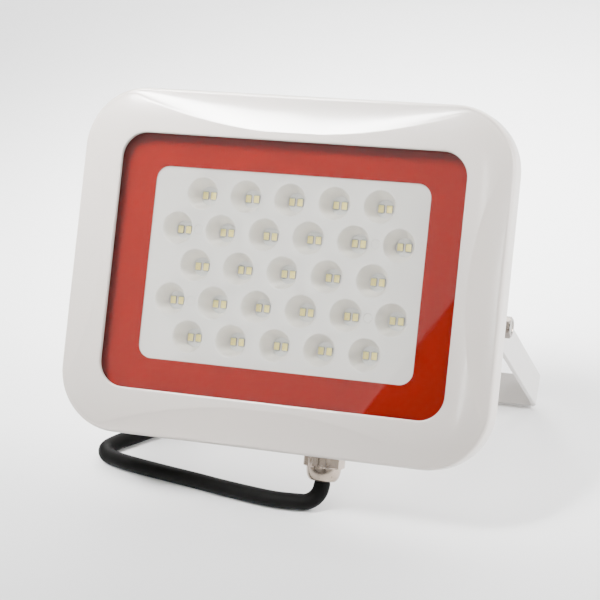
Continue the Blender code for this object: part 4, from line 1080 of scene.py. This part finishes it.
root = -(BAY_HEIGHT / 2 + 1.2 * MM)
length = root - GLAND_FACE
profile = [(GLAND_BOSS_RADIUS + 0.2 * MM, 0), (GLAND_BOSS_RADIUS, length - 0.5 * MM),
           (GLAND_BOSS_RADIUS - 0.5 * MM, length)]
bosses.append(turned(profile, (GLAND_X, GLAND_Y, root), "-Z"))
body = carved(body, bosses, "UNION")
tools = [drill(BOLT_HOLE, BOLT_HOLE_DEPTH, (side * (BOSS_FACE + MM), PIVOT_Y, PIVOT_Z), axis, 48)
         for side, axis in ((-1, "+X"), (1, "-X"))]
tools.append(drill(GLAND_HOLE, 18 * MM, (GLAND_X, GLAND_Y, GLAND_FACE - MM), "+Z", 48))
tools += [drill(BEZEL_SCREW_HOLE, 5.3 * MM, (x, -MM, z)) for x, z in bezel_screw_places()]
tools += [drill(COVER_SCREW_HOLE, 9 * MM, (x, HOUSING_DEPTH - 8 * MM, z))
          for x, z in cover_screw_places()]
tools.append(drill(WIRE_HOLE, 5 * MM, (0, PLATE_FRONT - MM, WIRE_Z)))
put("housing_casting", carved(body, tools), [housing_paint], "housing", sharp=25)

# The rear cover: a pressed aluminium lid over the bay, painted as the housing, on a grey gasket.
# Its middle stands proud by a millimetre.
COVER_FRONT = 25.6 * MM
COVER_THICK = 2.4 * MM
COVER_RIM = 8.4 * MM
PANEL_INSET = 10.0 * MM
PANEL_HEIGHT = 1.0 * MM


def lid(inset, height):
    width = BAY_WIDTH + 2 * COVER_RIM - 2 * inset
    tall = BAY_HEIGHT + COVER_RIM - 2 * inset
    corner = BAY_CORNER + COVER_RIM / 2 - 0.5 * inset
    return at(outline(width, tall, corner), COVER_FRONT + height)


cover = shape([
    lid(0, 0), lid(0, 1.6 * MM), lid(0.1 * MM, 2.0 * MM), lid(0.4 * MM, 2.3 * MM),
    lid(0.8 * MM, COVER_THICK), lid(PANEL_INSET - 0.3 * MM, COVER_THICK),
    lid(PANEL_INSET + 0.1 * MM, COVER_THICK + 0.1 * MM),
    lid(PANEL_INSET + PANEL_HEIGHT - 0.3 * MM, COVER_THICK + PANEL_HEIGHT - 0.2 * MM),
    lid(PANEL_INSET + PANEL_HEIGHT + 0.3 * MM, COVER_THICK + PANEL_HEIGHT),
])
holes = [drill(COVER_SCREW_HOLE, 5 * MM, (x, COVER_FRONT - MM, z))
         for x, z in cover_screw_places()]
put("rear_lid", carved(cover, holes), [housing_paint], "rear_cover", sharp=25)

# Screws: plated steel, pan heads with a cross recess. Eight hold the bezel from behind, six the
# rear cover and four the driver's board. Each recess stands at its own angle.
DRIVER_SCREW_X = 36.0 * MM
DRIVER_SCREW_Z = 26.0 * MM
DRIVER_BOARD_Z = -4.0 * MM
DRIVER_SCREW_SEAT = 13.4 * MM
HEAD_STEPS = 6
driver_screw_places = [(x, DRIVER_BOARD_Z + z)
                       for x, z in mirrored(DRIVER_SCREW_X, DRIVER_SCREW_Z)]
# Each kind: its places, where its head sits, its shank and head radius, its head's height, its
# length, and the seed of its angles.
SCREWS = {
    "bezel_screw": (bezel_screw_places(), FLANGE_BACK + FIT,
                    1.6 * MM, 3.4 * MM, 2.4 * MM, 10.0 * MM, 3),
    "cover_screw": (cover_screw_places(), COVER_FRONT + COVER_THICK + FIT,
                    1.5 * MM, 2.7 * MM, 2.0 * MM, 10.0 * MM, 7),
    "driver_screw": (driver_screw_places, DRIVER_SCREW_SEAT,
                     1.5 * MM, 2.7 * MM, 2.0 * MM, 4.4 * MM, 11),
}
steel = metal("plated_steel", (0.62, 0.60, 0.57), (0.5, 0.48, 0.46), 0.27)


def pan_screw(shank, radius, height, length):
    """A pan head with its cross recess and its shank, the head's underside at y = 0."""
    profile = [(0.6 * shank, -length), (shank, -length + 0.5 * MM), (shank, 0), (radius, 0)]
    for turn in quarter(HEAD_STEPS):
        profile.append((radius * (0.45 + 0.55 * cos(turn)), height * (0.45 + 0.55 * sin(turn))))
    body = turned(profile, (0, 0, 0), "+Y", 32)
    long = 0.31 * radius
    thin = 0.08 * radius
    for wide, tall in ((long, thin), (thin, long)):
        near = [(-wide, -tall), (wide, -tall), (wide, tall), (-wide, tall)]
        far = [(x * 2, z * 2) for x, z in near]
        body = carved(body, [shape([at(near, 0.3 * height), at(far, 1.05 * height)])])
    return body


for name, (places, seat, shank, radius, height, length, seed) in SCREWS.items():
    spots = [(x, seat, z) for x, z in places]
    screws = repeated(name + "s", pan_screw(shank, radius, height, length), spots, steel,
                      radians(90), seed)
    put(name + "s", screws, [steel], *[f"{name}_{k + 1}" for k in range(len(places))])

# The driver, in the bay: a green circuit board with a terminal block for the lead, a taped
# transformer, a capacitor and a copper choke, and two sleeved wires to the LED board.
circuit = moulded("green_circuit_board", (0.03, 0.16, 0.06), (0.02, 0.11, 0.04), 0.35, 900.0)
tape = moulded("yellow_transformer_tape", (0.62, 0.48, 0.08), (0.5, 0.38, 0.06), 0.4, 500.0)
black = moulded("black_plastic", (0.03, 0.03, 0.03), (0.05, 0.05, 0.05), 0.42, 1500.0)
winding = metal("enamelled_copper", (0.62, 0.25, 0.1), (0.45, 0.16, 0.06), 0.25, 2600.0)
coat(circuit, "driver_board")
coat(tape, "driver_transformer")
coat(winding, "driver_choke")
coat(black, "terminal_block", "driver_capacitor", "friction_washer_left",
     "friction_washer_right")
coat(sleeves[0], "led_wire_1")
coat(sleeves[2], "led_wire_2")

# The cable gland: nickel-plated brass. Its body screws into the housing over a rubber washer,
# and its domed nut squeezes a rubber seal round the lead.
BODY_TOP = -70.6 * MM
BODY_FLATS = 17.0 * MM
BODY_HEX = 3.8 * MM
BODY_START = 53.5 * MM
BODY_END = 79.7 * MM
NUT_TOP = -74.7 * MM
NUT_FLATS = 16.0 * MM
NUT_HEX = 5.9 * MM
NUT_DOME = 5.8 * MM
DOME_STEPS = 12
NUT_MOUTH = 4.7 * MM
NUT_STEP = 0.5 * MM
SEAL_FACE = 80.0 * MM
THREAD = 6.0 * MM
BORE = 3.85 * MM


def hex_ring(reach, height, flats=None, sides=96):
    """A ring round Y: a circle, or a hexagon whose corners are turned down to `reach`."""
    points = []
    for k in range(sides):
        turn = 2 * pi * k / sides
        radius = reach
        if flats:
            radius = min(reach, flats / 2 / cos((turn + pi / 6) % (pi / 3) - pi / 6))
        points.append((radius * cos(turn), height, radius * sin(turn)))
    return points


def hex_turned(steps, centre, axis, ring=False, sides=96):
    mesh = shape([hex_ring(*step, sides=sides) for step in steps], ring)
    mesh.transform(Matrix.Translation(centre) @ AXES[axis])
    return mesh


def hex_steps(flats, low, high, ends, breaks, trim=0.0):
    """Steps up a hexagon whose corners, trimmed a little, are turned down at both ends."""
    corner = flats / 2 / cos(pi / 6) - trim
    return [(flats / 2 - ends[0], low, flats), (corner, low + breaks[0], flats),
            (corner, high - breaks[1], flats), (flats / 2 - ends[1], high, flats)]


nickel = metal("nickel_plate", (0.48, 0.395, 0.325), (0.40, 0.33, 0.27), 0.2, 700.0, 0.006)
centre = (GLAND_X, GLAND_Y, 0)
top = -BODY_TOP
neck = THREAD + 0.6 * MM
steps = [(BORE, BODY_START), (THREAD, BODY_START), (THREAD, top)]
steps += hex_steps(BODY_FLATS, top, top + BODY_HEX, (0.2 * MM, 0.2 * MM), (0.6 * MM, 0.6 * MM),
                   0.1 * MM)
steps += [(neck, top + BODY_HEX), (neck, BODY_END), (BORE, BODY_END)]
put("plated_gland_body", hex_turned(steps, centre, "-Z", True), [nickel], "gland_body", sharp=20)
top = -NUT_TOP
hex_end = top + NUT_HEX
wide = NUT_FLATS / 2 - NUT_STEP
steps = [(neck + FIT, top)]
steps += hex_steps(NUT_FLATS, top, hex_end, (0.2 * MM, 0.1 * MM), (0.6 * MM, 0.5 * MM), 0.1 * MM)
steps.append((wide, hex_end + 0.05 * MM))
for turn in quarter(DOME_STEPS)[1:]:
    steps.append((NUT_MOUTH + (wide - NUT_MOUTH) * cos(turn), hex_end + NUT_DOME * sin(turn)))
steps += [(NUT_MOUTH - 0.3 * MM, hex_end + NUT_DOME), (BORE, hex_end + NUT_DOME - 0.3 * MM),
          (BORE, hex_end + NUT_DOME - 2.0 * MM), (neck + FIT, SEAL_FACE)]
put("plated_gland_nut", hex_turned(steps, centre, "-Z", True), [nickel], "gland_nut", sharp=20)

# The pivots: at each side a plated hex bolt and its washer clamp the bracket's arm on a black
# friction washer against the housing's boss.
ARM_INSIDE = 88.8 * MM
ARM_OUTSIDE = 90.8 * MM
HEAD_FACE = 92.3 * MM
BOLT_RADIUS = 2.5 * MM
BOLT_FLATS = 8.0 * MM
BOLT_HEAD = 3.2 * MM
BOLT_LENGTH = 14.0 * MM
BOLT_CUP = 2.9 * MM
WASHER_RADIUS = 5.0 * MM
WASHER_THICK = 0.9 * MM
WASHER_BREAK = 0.15 * MM
bright_steel = metal("bright_bolt_plate", (0.28, 0.25, 0.22), (0.22, 0.195, 0.175), 0.24)
centre = (0, PIVOT_Y, PIVOT_Z)
bolt_hole = BOLT_RADIUS + FIT
rim = WASHER_RADIUS - WASHER_BREAK
near = ARM_OUTSIDE + FIT
far = near + WASHER_THICK
ring = [(bolt_hole, near), (rim, near), (WASHER_RADIUS, near + WASHER_BREAK),
        (WASHER_RADIUS, far - WASHER_BREAK), (rim, far), (bolt_hole, far)]
tip = ARM_OUTSIDE - BOLT_LENGTH
top = HEAD_FACE + BOLT_HEAD
steps = [(0.7 * BOLT_RADIUS, tip), (BOLT_RADIUS, tip + MM), (BOLT_RADIUS, HEAD_FACE)]
steps += hex_steps(BOLT_FLATS, HEAD_FACE, top, (0.1 * MM, 0.1 * MM), (0.3 * MM, 0.55 * MM))
steps += [(BOLT_CUP, top), (BOLT_CUP - 0.3 * MM, top - 0.3 * MM)]
for word, axis in (("left", "-X"), ("right", "+X")):
    put(f"plain_washer_{word}", turned(ring, centre, axis, 48, True), [bright_steel],
        f"bolt_washer_{word}")
    put(f"hex_bolt_{word}", hex_turned(steps, centre, axis, sides=48), [bright_steel],
        f"pivot_bolt_{word}", sharp=22)

# The bracket: a U folded from steel strip and painted white, with rounded ends on its bolts and,
# in its crossbar, a round hole between two slots for the fixing screws.
STRIP_WIDTH = 14.6 * MM
STRIP_THICK = 2.0 * MM
ARM_REACH = 95.0 * MM
FOLD_RADIUS = 1.8 * MM
FOLD_STEPS = 10
END_STEPS = 12
END_TURN = radians(86)
FIXING_HOLE = 4.5 * MM
SLOT_LENGTH = 20.0 * MM
SLOT_TALL = 8.0 * MM
FIXING_SPACING = 100.0 * MM


def strip_sections():
    """(outer x, inner x, y, step of y to the inner edge, half width) along half the strip."""
    half = STRIP_WIDTH / 2
    outer = FOLD_RADIUS + STRIP_THICK
    bend_y = ARM_REACH - outer
    sections = []
    for k in range(END_STEPS):
        turn = END_TURN * (1 - k / END_STEPS)
        sections.append((ARM_OUTSIDE, ARM_INSIDE, -half * sin(turn), 0, half * cos(turn)))
    sections.append((ARM_OUTSIDE, ARM_INSIDE, 0, 0, half))
    centre_x = ARM_INSIDE - FOLD_RADIUS
    for turn in quarter(FOLD_STEPS):
        sections.append((centre_x + outer * cos(turn), centre_x + FOLD_RADIUS * cos(turn),
                         bend_y + outer * sin(turn), -STRIP_THICK * sin(turn), half))
    return sections


def strip_loop(section, side):
    """The strip's cut with its four edges broken."""
    out_x, in_x, y, step, wide = section
    share = EDGE_BREAK / STRIP_THICK
    trim = min(EDGE_BREAK, 0.5 * wide)
    points = []
    for depth, half in ((0, trim - wide), (share, -wide), (1 - share, -wide), (1, trim - wide),
                        (1, wide - trim), (1 - share, wide), (share, wide), (0, wide - trim)):
        points.append((side * (out_x + (in_x - out_x) * depth), y + step * depth, half))
    return points


bracket_paint = baked_paint("white_bracket_paint", (0.62, 0.60, 0.58), (0.60, 0.58, 0.56),
                            0.34, 600.0, 0.3, 0.03, 0.05)
sections = strip_sections()
loops = [strip_loop(section, 1) for section in sections]
loops += [strip_loop(section, -1) for section in reversed(sections)]
strip = shape(loops)
reach = ARM_OUTSIDE + MM
front = ARM_REACH - 5 * MM
back = ARM_REACH + 3 * MM
tools = [drill(bolt_hole, 2 * reach, (-reach, 0, 0), "+X", 48),
         drill(FIXING_HOLE, back - front, (0, front, 0), "+Y", 48)]
straight = (SLOT_LENGTH - SLOT_TALL) / 2
for side in (-1, 1):
    half = [(straight + SLOT_TALL / 2 * sin(pi * k / 16), SLOT_TALL / 2 * cos(pi * k / 16))
            for k in range(17)]
    loop = [(side * FIXING_SPACING / 2 + x, z) for x, z in half + [(-x, -z) for x, z in half]]
    tools.append(shape([at(loop, front), at(loop, back)]))
put("bracket_strip", carved(strip, tools), [bracket_paint], "bracket", place=bracket_frame,
    body="bracket", sharp=25)

# The studio: a pale floor and low light from all round. A soft box fills most of the glass with
# its reflection, a key lamp hangs above it to the left, a panel behind it lights the floor, and
# a strip lamp lights its right side. A narrow strip in front shows in the bezel's creases, and
# two white boards at the sides show in the plated metal.
FLOOR_REACH = 12.0
SKY_LIGHT = 0.15
floor_material, tree, shader = surface("pale_floor", 0.6)
cloud = noise(tree, place_on(tree), 40.0, 4.0, 0.6)
paper = blend_colour(tree, cloud, (0.90, 0.90, 0.90), (0.88, 0.88, 0.88))
link(tree, shader, Base_Color=paper)
bm = bmesh.new()
bmesh.ops.create_grid(bm, x_segments=1, y_segments=1, size=FLOOR_REACH)
floor_mesh = bpy.data.meshes.new("floor")
bm.to_mesh(floor_mesh)
bm.free()
floor_mesh.materials.append(floor_material)
floor = linked("floor", floor_mesh)
world = bpy.data.worlds.new("studio")
world.use_nodes = True
sky = world.node_tree.nodes["Background"]
sky.inputs["Color"].default_value = (1.0, 1.0, 1.0, 1.0)
sky.inputs["Strength"].default_value = SKY_LIGHT
scene.world = world
# Each lamp: where it stands, where it points, its roll and its spread in degrees, its size and
# its brightness.
LAMPS = {
    "soft_box": ((-0.4586, -0.7245, 0.6645), (0.005, -0.0248, 0.0991), -15.4, 180.0,
                 (0.6, 0.7), 0.62),
    "key_lamp": ((-0.38, -0.24, 0.92), (-0.125, 0.13, 0.25), 0.0, 36.0, (0.4, 0.4), 7.6),
    "back_panel": ((0.0, 1.1, 1.0), (0.0, 0.0, 0.05), 0.0, 180.0, (2.2, 1.4), 7.0),
    "crease_strip": ((-0.06, -1.02, 0.75), (0.05, 0.0, 0.1), 0.0, 180.0, (0.07, 0.4), 26.0),
    "left_board": ((-1.3, -0.5, 0.45), (0.0, 0.0, 0.05), 0.0, 180.0, (1.0, 0.7), 0.8),
    "right_board": ((1.2, -0.75, 0.55), (0.0, 0.0, 0.05), 0.0, 180.0, (1.0, 0.7), 0.9),
    "strip_lamp": ((0.75, 0.12, 0.3), (0.08, 0.0, 0.08), 0.0, 180.0, (0.3, 0.5), 22.0),
}
for name, (spot, aim, roll, spread, size, brightness) in LAMPS.items():
    light = bpy.data.lights.new(name, "AREA")
    light.shape = "RECTANGLE"
    light.size, light.size_y = size
    light.spread = radians(spread)
    light.energy = brightness * pi * size[0] * size[1]
    lamp = linked(name, light)
    lamp.location = spot
    aimed = (Vector(aim) - Vector(spot)).to_track_quat("-Z", "Y")
    lamp.rotation_mode = "QUATERNION"
    lamp.rotation_quaternion = aimed @ Quaternion((0, 0, 1), radians(roll))
